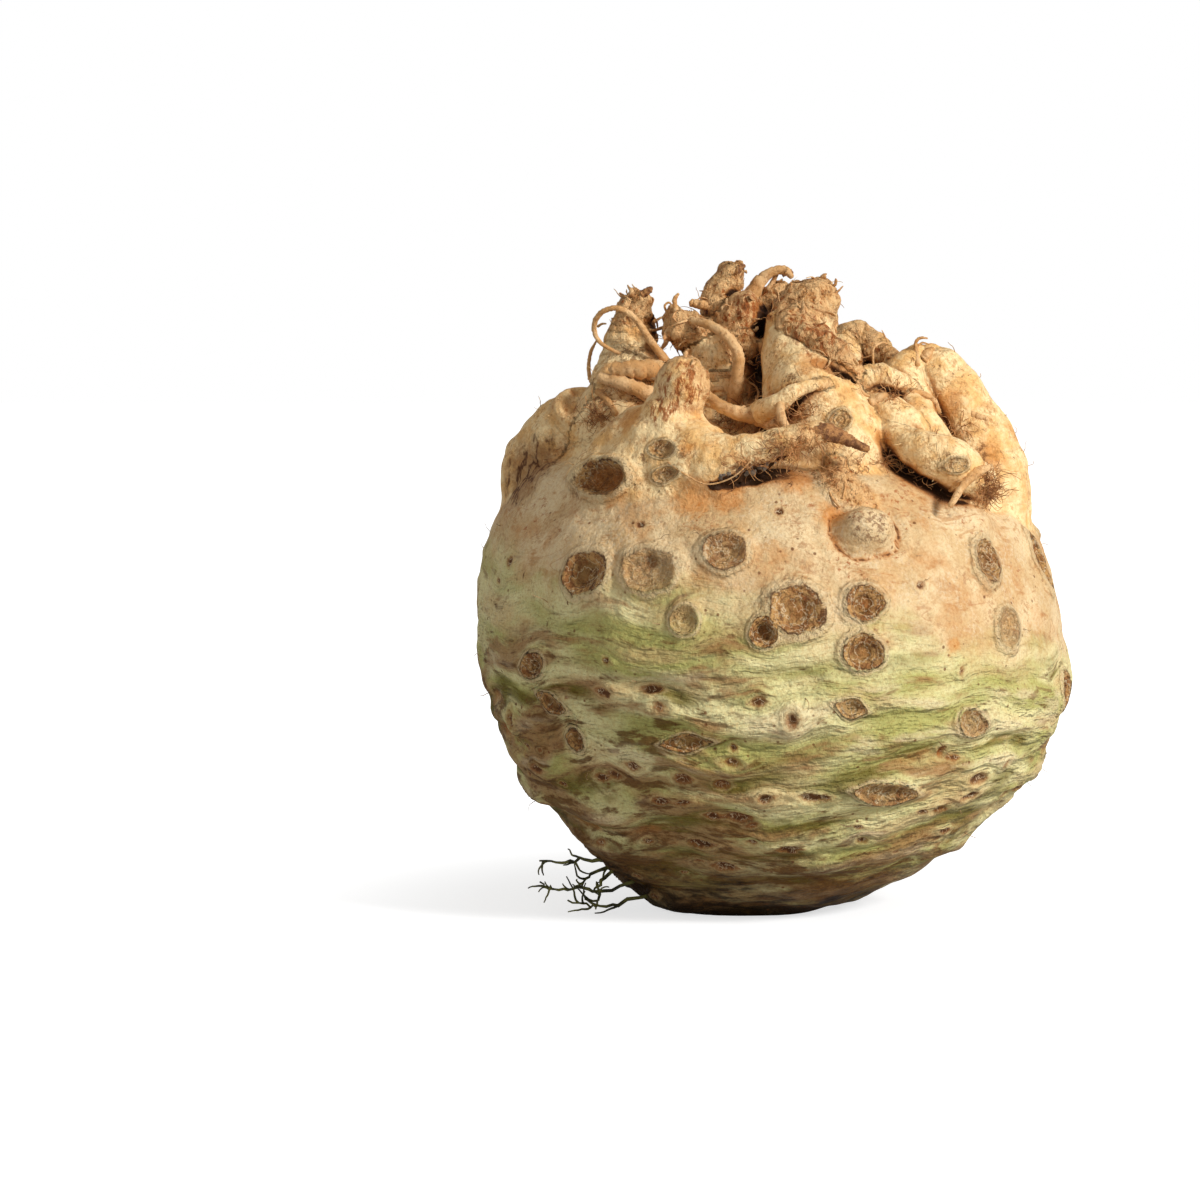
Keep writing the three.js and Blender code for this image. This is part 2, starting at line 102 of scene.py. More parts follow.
# Smaller scars that only the skin shows, in rows as above, and how many seeded ones join them
SMALL_SCARS = [
    (-54, -18, 1.3, 2.0, 0, 0.8), (-35, -21, 1.8, 1.8, 0, 0.4), (-67, -38, 1.6, 1.3, 0, 0.8),
    (-123, -6, 3.1, 1.3, -10, 0.8), (-113, -5, 3.4, 1.3, 0, 0.8), (-111, -8, 3.1, 2.0, 0, 0.15),
    (-97, -16, 1.1, 1.1, 0, 0.95), (-108, -23, 2.5, 1.8, 0, 0.8), (-100, -24, 2.2, 1.6, 0, 0.9),
    (-122, 0, 1.1, 1.1, 0, 1.0), (-86, -10, 2.0, 2.5, 0, 0.6), (-92, -7, 3.1, 1.6, 0, 0.5),
    (-91, -27, 2.0, 1.6, 0, 0.9), (-151, -13, 1.8, 2.7, 0, 0.8), (-114, 19, 1.8, 1.8, 0, 0.8),
    (-153, 17, 1.8, 1.3, 0, 0.9), (-108, -40, 4.5, 1.8, 0, 0.9), (-97, -32, 4.9, 1.6, 0, 0.85),
    (-79, -27, 3.1, 1.2, 0, 0.8), (-85, -41, 3.6, 1.3, 0, 0.9), (-114, -28, 3.1, 1.3, 0, 0.85),
    (-128, -24, 2.7, 1.3, 0, 0.8), (-23, 32, 3.2, 3.8, 0, 0.9), (-60, 14, 1.4, 1.2, 0, 0.9),
    (-52, -2, 1.2, 1.5, 0, 0.8), (-118, 26, 1.3, 1.1, 0, 0.9), (-88, 30, 1.4, 1.4, 0, 0.7),
]
SMALL_SEEDED = 150

# Root legs: rows of x, y, z, radius, from the bulb outwards
LEGS = {
    "thumb": [(-22, -27, 92, 15), (-23.3, -33, 102.7, 9.2), (-21.9, -36, 108, 6.8),
              (-19.8, -38, 112.2, 5.1), (-18.6, -38, 116.2, 5.6), (-18.4, -37, 119.0, 3.5)],
    "shoulder": [(-33, -23, 84, 12), (-24.5, -35, 95.5, 11), (-16.5, -41, 97.8, 7.6),
                 (-12, -44, 98.6, 5.8)],
    "pleat": [(-37, -30, 98, 4.5), (-34.6, -31.5, 103.4, 3.0), (-29.4, -31, 109, 1.6)],
    "branch": [(-16, -40, 100, 8.4), (-12.1, -45, 99.8, 6.0), (-4.9, -48.5, 102, 4.4),
               (0.6, -49.5, 104, 3.5), (5.7, -49.5, 105.6, 2.8), (10.4, -49, 106.6, 2.1)],
    "left_cone": [(-32, -12, 91, 14), (-32, -11, 104, 12.4), (-31.4, -10, 114, 8.6),
                  (-30.6, -8, 123.8, 5.9), (-29.7, -8, 130.4, 4.4), (-28.6, -8, 134.4, 3.4),
                  (-27, -8, 136.6, 1.8)],
    "left_hump": [(-44, 2, 83, 12), (-47.5, 0, 94, 12), (-46.5, -4, 102.5, 9.5), (-42.5, -9, 108.6, 7.2),
                  (-39.8, -13, 112, 4.6)],
    "centre_trunk": [(-9, -8, 98, 16), (-9.2, -10, 113, 9), (-9.7, -10, 122.7, 7.2), (-8.6, -8, 130, 6)],
    "dark_stub": [(-13, -10, 125, 5), (-19.2, -13, 129, 4), (-22.9, -15, 129.9, 3.3)],
    "top_left_stub": [(-9.2, -8, 127, 5.4), (-11, -8, 134.8, 4), (-9.4, -8, 138.9, 2.9),
                      (-7, -8, 142.2, 1.3)],
    "top_twig": [(-4.9, -4, 132, 3.4), (-2.9, -4, 138, 2), (0, -4, 140.8, 1.4), (3.3, -4, 141.4, 1.2),
                 (4.8, -4, 139.9, 0.8)],
    "ring_stub": [(-3.5, -3, 127, 6), (1.1, -2, 134.5, 4.2), (4.4, -3, 136.6, 3.4)],
    "crumple": [(-8.5, -11, 125, 5.4), (-5.5, -14, 131.5, 4.8), (-1.7, -15, 134.4, 3.2)],
    "cross_stump": [(-15.3, -13, 121, 4.4), (-9.8, -16, 123.4, 4.1), (-4.8, -16, 125.7, 3.5),
                    (-2.6, -16, 127.3, 2.4)],
    "arch": [(-17.2, -17, 130.2, 1.0), (-13, -20, 129.2, 1.3), (-9.6, -22, 126.9, 1.5),
             (-6.8, -23, 122.7, 1.6), (-7.1, -22, 117.7, 1.8), (-7.8, -19, 112.6, 2.2)],
    "main_trunk": [(17.5, -20, 86, 18), (14.6, -27, 100, 13), (10.3, -27, 110.5, 10.7), (6.9, -22, 119, 9),
                   (6.1, -18, 124.9, 8.3), (7.2, -15, 130.4, 7.2), (10, -14, 133.8, 5)],
    "flap": [(3.2, -18.5, 131, 2.8), (5.6, -23, 128.4, 4.0), (10.4, -26.2, 125, 3.9),
             (14.6, -27.4, 121.8, 3.2), (18.2, -26, 118.6, 2.3)],
    "wrap": [(-2.4, -33, 110.4, 2.6), (1.1, -38.5, 112.2, 2.4), (3.8, -39.5, 114.1, 2.1),
             (8.1, -38.5, 116.2, 1.5), (12.1, -36, 116.8, 1.1)],
    "curled_stub": [(31, -15, 114, 2.8), (25.6, -21, 117.1, 3.1), (20.9, -24, 117.8, 3),
                    (19, -25, 114.5, 2.1)],
    "sausage_a": [(15, -17, 107, 4.5), (22.6, -25, 110, 5.1), (27.9, -28, 107.9, 4.7), (32, -28, 104, 3.2)],
    "sausage_b": [(28.5, -16, 114.5, 2.6), (32, -23, 109.1, 4), (36, -25, 103, 4)],
    "sausage_c": [(20.5, -27, 107.7, 2.6), (27.8, -33, 104.2, 3.5), (34, -37, 101.7, 4.6),
                  (39, -36, 99.4, 5.3), (43, -28, 95, 6)],
    "right_wing": [(38, -4, 77, 15), (44.5, -5, 90, 13.6), (45.2, -6, 100.7, 9.9), (41.2, -7, 110.6, 7.6),
                   (37.4, -8, 118.1, 5.7), (35.2, -8, 123, 3)],
    "wing_fold": [(35, -12, 90, 8), (33.5, -13.5, 101, 6), (31.7, -13, 110.7, 4.7), (29.6, -11, 118, 4.6),
                  (32.5, -9, 121.6, 3.4)],
    "back_knee": [(12, 1, 100, 9), (14, 4, 117, 6.5), (18, 8, 125.6, 4.8), (22, 8, 124.4, 4),
                  (25.8, 6, 121.8, 3.4), (30, -3, 117, 4.4)],
    "knob_root": [(20.7, -42, 84, 5), (17.9, -45.5, 91.2, 2.9), (15.1, -45.5, 95.5, 2.4),
                  (13.6, -40, 99.5, 2.2)],
    "back_leg": [(-22, 20, 92, 15), (-27, 25, 105, 8.8), (-27, 27, 112, 6.2), (-24, 27, 116, 3.8)],
    "back_fork": [(8, 24, 90, 16), (13, 31, 104, 9.4), (19, 35, 111, 6.6), (22.5, 36, 114.5, 4)],
    "back_branch": [(10, 28, 95, 8), (15, 34, 103, 7), (24, 43, 105, 4.8), (34, 48, 101, 3.2),
                    (42, 48.5, 95, 1.8)],
    "back_wing": [(34, 20, 84, 15), (38, 23, 99, 8.6), (35, 24, 107, 6), (31, 22, 111.5, 3.6)],
    "back_hump": [(-42, 16, 86, 13), (-47, 19, 97, 7.6), (-44, 21, 103.5, 4.8)],
    "back_stump": [(-5, 13, 98, 13), (-3, 15, 117, 7.4), (-1.5, 15.5, 127, 5.4), (0.5, 15, 131, 3.8)],
    "back_ridge": [(-8, 26, 90, 12), (-15, 37, 99, 7.6), (-25, 43, 97, 5), (-35, 43.5, 91, 3.2)],
    "back_buttress": [(24, 8, 90, 13), (31, 9, 106, 7.4), (29, 12, 114, 4.6), (26, 13, 118, 3)],
    "back_twist": [(-14, 20, 96, 8), (-15.5, 23, 110, 4.4), (-11, 22.5, 118, 3.3), (-5, 24, 119, 2.6)],
    "back_root": [(6, 20, 94, 8), (5, 26, 105, 5), (2, 36, 109, 3.2), (-8, 44, 108, 2.4),
                  (-19, 48, 103, 1.8), (-27, 50, 95, 1.3)],
    "curl": [(-20, -12, 118, 1.4), (-26.1, -18, 126, 1.05), (-29.7, -20, 131.1, 0.85),
             (-32.9, -21, 132.8, 0.8), (-36.4, -20, 132, 0.75), (-38.2, -18, 129.2, 0.75),
             (-37.4, -17, 126, 0.65), (-34.4, -15.5, 123.8, 0.5), (-30, -12, 122.5, 0.4)],
    "stub_upper": [(-22, -12, 118.5, 3.2), (-25, -19, 119.4, 2.8), (-29, -21, 119.7, 2.6),
                   (-34.2, -20.5, 119.4, 2)],
    "stub_lower": [(-22, -18, 112, 2.8), (-30.3, -21.5, 116, 2.1), (-37, -20, 118, 1.5)],
    "hook": [(5, -33, 115.4, 1.2), (2.3, -40.5, 112.4, 1.2), (2.5, -41.5, 109, 1.3), (5, -36, 105, 1.8)],
    "cavity_root": [(-13.8, -30, 114.2, 1.4), (-9.4, -33, 111.2, 1.8), (-4.9, -34, 110, 2.1),
                    (3, -30, 108, 3)],
    "spike": [(47.2, -35, 98.9, 0.8), (43.5, -38.5, 97.7, 1.5), (40.6, -41, 94.8, 1.1), (38, -44, 91, 0.8)],
    "back_curl": [(20, 34, 109, 2.6), (29, 38, 113, 1.7), (36, 36, 110, 1.5), (38, 31, 105, 1.3),
                  (34, 26, 99, 1.5)],
}

# Thin roots with a finer mesh of their own
THIN_ROOTS = ["curl", "stub_upper", "stub_lower", "hook", "cavity_root", "spike", "top_twig", "arch",
              "back_curl"]

# Legs that run smoothly into one another
MERGED = ["thumb", "shoulder", "branch", "pleat"]

# Where bark starts along a leg, from 0 at the bulb to 1 at the tip, and how much of it covers the leg
BARK = {
    "thumb": (0.5, 0.75), "shoulder": (0.2, 0.2), "branch": (0.4, 0.6), "left_cone": (0.35, 0.85),
    "left_hump": (0.5, 0.3), "centre_trunk": (0.3, 0.9), "dark_stub": (0.0, 1.0),
    "top_left_stub": (0.0, 0.9), "top_twig": (0.2, 0.6), "ring_stub": (0.1, 0.9), "crumple": (0.0, 0.8),
    "cross_stump": (0.2, 0.8), "main_trunk": (0.55, 0.95), "flap": (-0.3, 0.95), "wrap": (0.5, 0.6),
    "curled_stub": (0.1, 0.4), "right_wing": (0.8, 0.3), "wing_fold": (0.75, 0.4), "sausage_a": (0.7, 0.1),
    "sausage_b": (0.8, 0.1), "sausage_c": (0.85, 0.3), "back_knee": (0.2, 0.7), "knob_root": (0.1, 0.6),
    "back_leg": (0.4, 0.9), "back_fork": (0.4, 0.8), "back_branch": (0.5, 0.6), "back_wing": (0.35, 0.8),
    "back_hump": (0.3, 1.0), "back_stump": (0.4, 1.0), "back_ridge": (0.5, 0.7),
    "back_buttress": (0.5, 0.8), "back_twist": (0.3, 0.7),
}

# Legs that were cut or snapped off, so they end in a rough face
SNAPPED = ["left_cone", "dark_stub", "ring_stub", "cross_stump", "stub_upper", "stub_lower", "left_hump",
           "back_stump", "back_leg", "back_wing", "back_hump", "back_fork", "crumple"]

# Legs with wrinkles round them, and torn legs with a crumpled surface
RINGED = ["left_cone", "back_knee", "curled_stub", "centre_trunk", "cross_stump", "dark_stub", "ring_stub",
          "back_leg", "back_twist", "back_buttress", "top_left_stub"]
RAGGED = ["dark_stub", "top_left_stub", "ring_stub", "crumple", "cross_stump", "flap", "back_stump",
          "left_cone", "main_trunk", "back_leg", "back_hump", "back_wing"]

# Hollows cut back into the root, each with the leg over it, which is kept, and how dark the painted
# shade on its walls is
HOLLOWS = [
    ([(-12, -51.5, 95.4, 0.7), (-7, -50.5, 96.8, 1.5), (-2.5, -49.5, 98.4, 2.1), (2.1, -48.5, 100.2, 2.5),
      (8, -47, 102.4, 1.8)], "branch", 0.95),
    ([(-7, -47, 97.4, 1.4), (-2.5, -46, 99, 2.2), (2.1, -44.5, 100.6, 2.6), (8, -43, 102.6, 1.8)],
     "branch", 0.95),
    ([(10, -33, 121.4, 1.2), (13.4, -32.4, 119.8, 1.9), (17, -29, 117.8, 1.6)], "flap", 0.6),
]

# Thin roots that only the scene shows, as the photograph shows them: rows of x across, z up,
# lift off the surface behind, radius
FINE_ROOTS = [
    [(-25.5, 127.5, 0.3, 0.5), (-27.4, 124.1, 0.5, 0.48), (-26.6, 122.2, 0.4, 0.45),
     (-24, 121.8, 0.2, 0.4)],
    [(-38.5, 129.2, 0.2, 0.4), (-37.6, 129.8, 0.6, 0.32), (-36.6, 129.9, 0.8, 0.22)],
    [(-21, 132.6, -0.3, 0.85), (-21.3, 135.2, 0.2, 0.65), (-20.5, 136.6, 0.2, 0.42)],
    [(-23, 132.2, -0.2, 0.35), (-23.5, 133.9, 0.2, 0.32), (-22.6, 134.6, 0.2, 0.3),
     (-21.8, 133.8, 0, 0.25)],
    [(-13, 133.8, -0.5, 1.4), (-15.6, 134.2, 0.4, 1.3), (-17.8, 134.6, 0.6, 1.1)],
    [(-17, 130.9, 0.2, 0.55), (-20.1, 130.1, 1.4, 0.3), (-22.8, 128.9, 2.2, 0.14)],
    [(-4.8, 119.8, 0.3, 0.35), (-5.6, 117.7, 0.8, 0.3), (-3, 115.6, 1.2, 0.28), (-3.5, 112.1, 1, 0.26),
     (-7.3, 111.1, 0.5, 0.22)],
    [(-6, 116.8, 0.3, 0.28), (-6.9, 113.4, 0.8, 0.25), (-4.8, 111.3, 0.8, 0.22), (-2.2, 112.2, 0.6, 0.16)],
    [(-10.6, 115.4, 0.2, 0.85), (-13.3, 114.9, 0.8, 0.8), (-14.4, 112.3, 0.9, 0.6), (-12, 110.9, 0.5, 0.4)],
    [(-14.6, 109.5, 0.3, 0.34), (-12.5, 107.2, 0.6, 0.3), (-9.9, 106.7, 0.5, 0.24),
     (-7.5, 108.2, 0.4, 0.2)],
    [(-38.8, 126, 0.2, 0.3), (-40, 123.6, 0.3, 0.5), (-40.5, 120.4, 0.3, 0.55), (-40, 117, 0.2, 0.6),
     (-38.4, 115.8, 0, 0.6)],
    [(-38.6, 114.8, 0, 1.0), (-36.4, 112.8, 0.5, 0.95), (-34.4, 109.6, 0.2, 0.8)],
    [(-47.9, 111.4, 0, 0.35), (-47.6, 113, 0.6, 0.34), (-46.7, 113.4, 0.6, 0.32), (-46, 112.2, 0, 0.3)],
    [(-22.9, 99, 0.3, 0.24), (-18, 95.6, 0.6, 0.22), (-14, 94, 0.8, 0.22), (-8.3, 95.6, 1.2, 0.2),
     (-4.3, 99.2, 1, 0.18)],
    [(23.4, 118.4, 0, 0.34), (22.3, 121.8, 0.4, 0.32), (22.6, 124.4, 0.4, 0.3), (24.6, 125.6, 0.4, 0.3),
     (25.8, 125.4, 0.4, 0.26), (25.6, 127.2, 0.4, 0.2), (25, 128.4, 0.4, 0.14)],
    [(25.8, 125.5, 0.4, 0.24), (25, 123.8, 0.4, 0.18), (24.2, 123.4, 0.4, 0.12)],
    [(26, 120.8, 0, 0.16), (29.4, 123.3, 0.3, 0.14), (32.4, 125.1, 0.3, 0.12)],
    [(33, 120.6, 0, 0.75), (32.7, 123.6, 0.3, 0.6), (32.6, 125.8, 0.3, 0.5), (33.6, 126.7, 0.4, 0.4),
     (35.2, 126.6, 0.4, 0.25)],
    [(32.7, 124.6, 0.3, 0.35), (34, 125.6, 0.8, 0.28), (35.8, 125.2, 1, 0.16)],
    [(34, 121.6, -0.6, 1.5), (35.2, 123.2, 0, 1.4), (36.3, 124.3, 0, 0.8)],
    [(45, 109.6, -0.4, 1.0), (46.8, 109.1, 0.2, 0.85), (48.2, 108.6, 0.2, 0.75), (48.3, 107.4, 0.2, 0.6)],
    [(31.6, 114.6, 0.2, 0.9), (34.6, 114, 0.5, 0.9), (37, 112.2, 0.5, 0.85), (37.8, 109.9, 0.3, 0.8)],
    [(22.6, 112.2, 0, 1.2), (24.6, 113.4, 0.6, 1.1), (26, 114.2, 0.8, 0.8)],
    [(19.4, 117, 0, 0.5), (20.6, 114.6, 0.4, 0.5), (22.2, 113.6, 0.3, 0.4)],
    [(6.2, 110.6, 0.6, 0.24), (7.4, 112, 0.7, 0.22), (9, 111.4, 0.7, 0.22), (8.8, 109.4, 0.7, 0.2),
     (7, 109.2, 0.8, 0.18), (6.6, 110.4, 1.2, 0.16)],
    [(12.3, 98, 0.3, 0.4), (12.4, 94.9, 0.6, 0.36), (13.8, 91.2, 0.5, 0.32), (15.6, 88.8, 0.3, 0.26)],
    [(15.6, 97.4, 0.3, 0.3), (16.8, 94, 0.5, 0.28), (16.2, 90.8, 0.4, 0.22)],
    [(40.2, 92.6, 0, 0.5), (42.2, 94.6, 0.5, 0.6), (44, 94.8, 0.8, 0.7)],
]

# The branch's dark torn tip, in rows of x, y, z, radius, and more thin dark roots in the form above
BRANCH_TIP = [(7.5, -49.8, 106.2, 2.0), (11.5, -49.8, 106.6, 2.0), (14.4, -49, 105.8, 1.7),
              (17, -48.2, 104.6, 1.2), (19, -47.8, 103.6, 0.95), (20.6, -47.4, 103, 0.75)]
BARK_ROOTS = [
    [(-7.6, 141.4, -0.3, 0.9), (-6.4, 142.6, 0.3, 0.7), (-5.6, 142.8, 0.4, 0.4)],
    [(2.8, 141.2, -0.2, 0.9), (4.4, 141.4, 0.2, 0.7), (5.0, 140.2, 0.3, 0.35)],
    [(-28.6, 136.4, -0.4, 1.0), (-27.0, 137.4, 0.2, 0.8), (-26.4, 138.0, 0.3, 0.4)],
]

# Mats of hair as the photograph shows them: x across, z up, half width, half height, hairs
HAIR_MATS = [
    (-38.5, 109.6, 2.6, 3.0, 90), (-30, 113.8, 3, 2.4, 70), (-7.8, 107.9, 6, 1.9, 190),
    (-5, 112.5, 3, 2.6, 60), (6.3, 110, 4.2, 2.2, 120), (4, 102, 5, 1.8, 170), (11, 103.4, 3, 1.4, 80),
    (27.7, 114, 2.6, 2, 70), (41, 106, 2.6, 2.4, 130), (49.0, 93, 3.2, 4.2, 260), (15, 95.4, 1.4, 2, 40),
    (-5, 99, 5, 1.4, 90), (20, 98.4, 2.4, 1, 40), (26, 99, 2.4, 1, 50),
]

# Orange stains: middle and radius
ORANGE_STAINS = [
    ((-15.6, -49, 92.4), 6.0), ((-9, -49, 91.6), 5.0), ((37.4, -52, 62), 2.6), ((-18, -50, 103), 2.4),
    ((38.8, -16, 112.5), 4.0), ((48, -18, 101), 5.0), ((15, -52, 88), 4.0), ((24, -34, 105), 3.0),
    ((-20, 46, 92), 6.0), ((30, 40, 88), 5.0), ((-52, 20, 84), 5.0), ((-28, -36, 108), 5.0),
    ((6, -50, 98), 5.0), ((-30, -40, 92), 4.0), ((8, -34, 122), 4.0),
]

# Trimmed scars among the legs: middle, half width, half height and tone
LEG_SCARS = [
    ((-35.4, -33, 96.8), 6.2, 3.8, 0.9), ((-22.3, -43, 103), 2.9, 1.8, 0.5),
    ((-21.7, -45, 98), 3.4, 1.7, 0.4), ((14.6, -38, 109.1), 2.3, 1.8, 0.1),
    ((38.9, -41, 99.4), 3.0, 1.6, 0.15),
]

# Grey-brown blotches on the legs: middle and radius
BLOTCHES = [
    ((-22.4, -45, 102.9), 3.0), ((-20.8, -46, 98.4), 2.6), ((-25.6, -43, 100), 2.2),
    ((-17.4, -47, 101.3), 2.0), ((15, -38, 109.2), 3.4), ((37, -41, 100.3), 3.0), ((45.6, -14, 100.5), 3.4),
    ((-36, -30, 90), 3.0), ((21.3, -57, 88), 6.0), ((20, 40, 104), 4.0), ((-26, 33, 104), 4.0),
    ((38, 30, 96), 4.0), ((-31, -18, 124), 6.0), ((-37, -18, 112), 4.0), ((3, -36, 118), 2.6),
    ((-10, -46, 103), 2.0), ((0, -52, 106), 2.4),
]

# Rusty streaked bark: middle and radius
RUSTED = [((-18.8, -42, 116), 8.0), ((-22.5, -42, 111), 5.0), ((11, -28, 129), 9.0), ((-27, 30, 112), 6.0),
          ((-2, -18, 134), 8.0), ((20, 8, 124), 6.0)]

# Grey-brown skin with dark splits: middle and radius
CRACKED = [((-55, -14, 98), 11.0), ((-47, 27, 98), 9.0)]

# The rings drawn on a scar, in shares of its size: middle, half width and strength
SCAR_RINGS = [(1.32, 0.05, 0.35), (0.97, 0.08, 1.0), (0.66, 0.07, 0.6)]

# What the skin's points carry: how much of a leg they are, the folds, scars and their tones, small
# scars, bark, the painted shade of crevices, knob creases and carved hollows, the height that the folds
# follow, the millimetres along a leg and how wrinkled it is
SKIN_VALUES = ("leg", "fold", "scar", "tone", "mark", "bark", "hollow", "flow", "ring", "ringed")

# Lamps: name, place in metres, size and power
STUDIO_LIGHT = 0.4
LAMPS = [("key", (1.1, -0.85, 0.75), 0.3, 23.5), ("fill", (-0.9, -1.0, 0.5), 1.2, 1.2)]
LAMP_AIM = Vector((0, 0, 0.07))

# The distance given to places far outside, the distance from a scar, in its sizes, given far from all, and
# the gap left between one leg's millimetres and the next leg's
FAR = 30.0
NO_SCAR = 3.0
RING_GAP = 40

# The least share of bulb where its scars show, and the least gap between the additions and the solid's box
BULB_SHARE = 0.4
EDGE_GAP = 0.3

# How many flakes and crumbs, how a flake's width runs along it, and the finer steps of the thin roots
FLAKES = 330
CRUMBS = 26
FLAKE_WIDTHS = np.array([0.6, 1.0, 1.0, 0.8, 0.7, 0.4])
FINE_STEPS = 9

# The skin's grids: lowest corner, highest corner and step. The crown of legs has the finer one.
SPLIT_HEIGHT = 86.0
BULB_GRID = ((-70, -70, -4), (70, 70, SPLIT_HEIGHT + 5), 0.86)
CROWN_GRID = ((-66, -66, SPLIT_HEIGHT - 5), (66, 66, 147), 0.71)

# The photograph's view, in millimetres: distance, height aimed at and width seen
VIEW_DISTANCE = 800.0
VIEW_ELEVATION = math.radians(4)
AIM_HEIGHT = 66.0
PICTURE_SIDE = 1200
WIDTH_SEEN = PICTURE_SIDE * 0.2234
AIM_PIXEL = (770.0, 609.6)
FILM_WIDTH = 36
VIEW_BACK = np.array([0, -math.cos(VIEW_ELEVATION), math.sin(VIEW_ELEVATION)])
VIEW_UP = np.array([0, math.sin(VIEW_ELEVATION), math.cos(VIEW_ELEVATION)])


def smooth_step(value, low, high):
    share = np.clip((value - low) / (high - low), 0, 1)
    return share * share * (3 - 2 * share)


def along(x, xs, ys):
    """The values at x on a smooth line through the points (xs, ys)."""
    xs, ys = np.asarray(xs, float), np.asarray(ys, float)
    i = np.clip(np.searchsorted(xs, x) - 1, 0, len(xs) - 2)
    share = smooth_step(x, xs[i], xs[i + 1])
    return ys[i] * (1 - share) + ys[i + 1] * share


def lattice(cells, seed):
    """A fixed random number from 0 to 1 for each whole-number cell."""
    mixed = cells @ np.array([374761393, 668265263, 1440662683]) + seed * 974634777
    mixed = (mixed ^ (mixed >> 13)) & 0xFFFFFFFF
    mixed = (mixed * 1274126177) & 0xFFFFFFFF
    return ((mixed ^ (mixed >> 16)) & 0xFFFF) / 65535.0


def blended(base, share, value_at):
    """The values at the eight corners of each cell, weighed by the share of the way across it."""
    total = np.zeros(len(base))
    for corner in itertools.product((0, 1), repeat=3):
        weight = np.prod(np.where(corner, share, 1 - share), axis=1)
        total += weight * value_at(base + np.array(corner))
    return total


def noise(points, size, seed=0):
    """Smooth noise from -1 to 1 with swellings of about this size, in millimetres."""
    places = points / size
    base = np.floor(places).astype(np.int64)
    share = smooth_step(places - base, 0, 1)
    return 2 * blended(base, share, lambda cells: lattice(cells, seed)) - 1


def draws(seed):
    """The same seeded draws from 0 to 1 as the solid's."""
    state = seed
    while True:
        state = (state * 1664525 + 1013904223) & 0xFFFFFFFF
        yield state / 4294967296


def back_scars():
    draw = draws(SEED)
    least, most = BACK_SCAR_SIZE
    scars = []
    for i in range(BACK_SCARS):
        azimuth = 180 * (i + 0.5 + 0.6 * (next(draw) - 0.5)) / BACK_SCARS
        latitude = 24 - 58 * ((i * 0.618034) % 1)
        size = least + (most - least) * next(draw)
        height = size * (0.45 + 0.45 * next(draw))
        tilt = 40 * (next(draw) - 0.5)
        scars.append((azimuth, latitude, size, height, tilt, 0.55 + 0.2 * (i % 3)))
    return scars


def seeded_scars():
    """Small scars all round: long dark ones low down, a few small dots higher up."""
    draw = np.random.default_rng(SEED)
    scars = []
    for i in range(SMALL_SEEDED):
        low = draw.random() < 0.72
        latitude = draw.uniform(-62, -16) if low else draw.uniform(-14, 34)
        width = draw.uniform(1.4, 4.4) if low else draw.uniform(0.5, 1.1)
        height = width * draw.uniform(0.3, 0.55) if low else width * draw.uniform(0.7, 1)
        azimuth, tilt, tone = draw.uniform(-180, 180), draw.uniform(-14, 14), draw.uniform(0.2, 0.95)
        scars.append((azimuth, latitude, width, height, tilt, tone))
    return scars


def offset_from(feature, azimuth, latitude):
    """How far directions lie from a feature's middle, in shares of its half width and height."""
    radius = OUTLINE["front"][6]
    turn = (azimuth - feature[0] + 540) % 360 - 180
    across = radius * np.radians(turn) * math.cos(math.radians(feature[1]))
    up = radius * np.radians(latitude - feature[1])
    tilt = math.radians(feature[4])
    long_way = (across * math.cos(tilt) + up * math.sin(tilt)) / feature[2]
    short_way = (up * math.cos(tilt) - across * math.sin(tilt)) / feature[3]
    if feature[3] < 0.6 * feature[2]:
        short_way = short_way * (1 + 0.8 * np.minimum(long_way**2, 1.5))
    return np.hypot(long_way, short_way)


def directions(points):
    """Unit directions from the bulb's middle, with their azimuths and latitudes in degrees."""
    away = points - BULB_CENTRE
    unit = away / np.maximum(np.linalg.norm(away, axis=1), 1e-9)[:, None]
    azimuth = np.degrees(np.arctan2(unit[:, 1], unit[:, 0]))
    return unit, azimuth, np.degrees(np.arcsin(np.clip(unit[:, 2], -1, 1)))


def smooth_radius(unit, azimuth, latitude):
    """The bulb's radius with its lumps and swellings, before ridges and scars."""
    level = np.maximum(np.hypot(unit[:, 0], unit[:, 1]), 1e-9)
    sideways, forward = unit[:, 0] / level, -unit[:, 1] / level
    side = {name: along(latitude, LATITUDES, radii) for name, radii in OUTLINE.items()}
    radius = sideways**2 * np.where(sideways > 0, side["right"], side["left"])
    radius += (1 - sideways**2) * np.where(forward > 0, side["front"], side["back"])
    x, y, z = unit.T
    broad = np.sin(3.1 * x + 2.3 * z + 0.7) + np.sin(3.7 * y - 1.9 * z + 2.1)
    small = np.sin(7.3 * x - 5.1 * y + 4.0 * z) + np.sin(6.1 * z + 5.7 * y - 4.3 * x + 1.3)
    radius += LUMP_HEIGHT * (0.6 * broad + 0.3 * small)
    for swelling in SWELLINGS:
        distance = offset_from((*swelling[:4], 0), azimuth, latitude)
        radius += swelling[4] * (1 - smooth_step(distance, 0.35, 1.2))
    return radius


def fold_wave(azimuth, height):
    """The wavy ridges of the lower half, from -1 in a valley to 1 on a ridge, faded out above."""
    turn = np.radians(azimuth)
    wander = 1.3 * np.sin(2 * turn + 0.6) + 0.8 * np.sin(5 * turn + 0.06 * height)
    wave = np.sin(2 * math.pi * height / RIDGE_PITCH + wander)
    return wave * smooth_step(height, 0, 8) * (1 - smooth_step(height, 44, RIDGES_TOP))


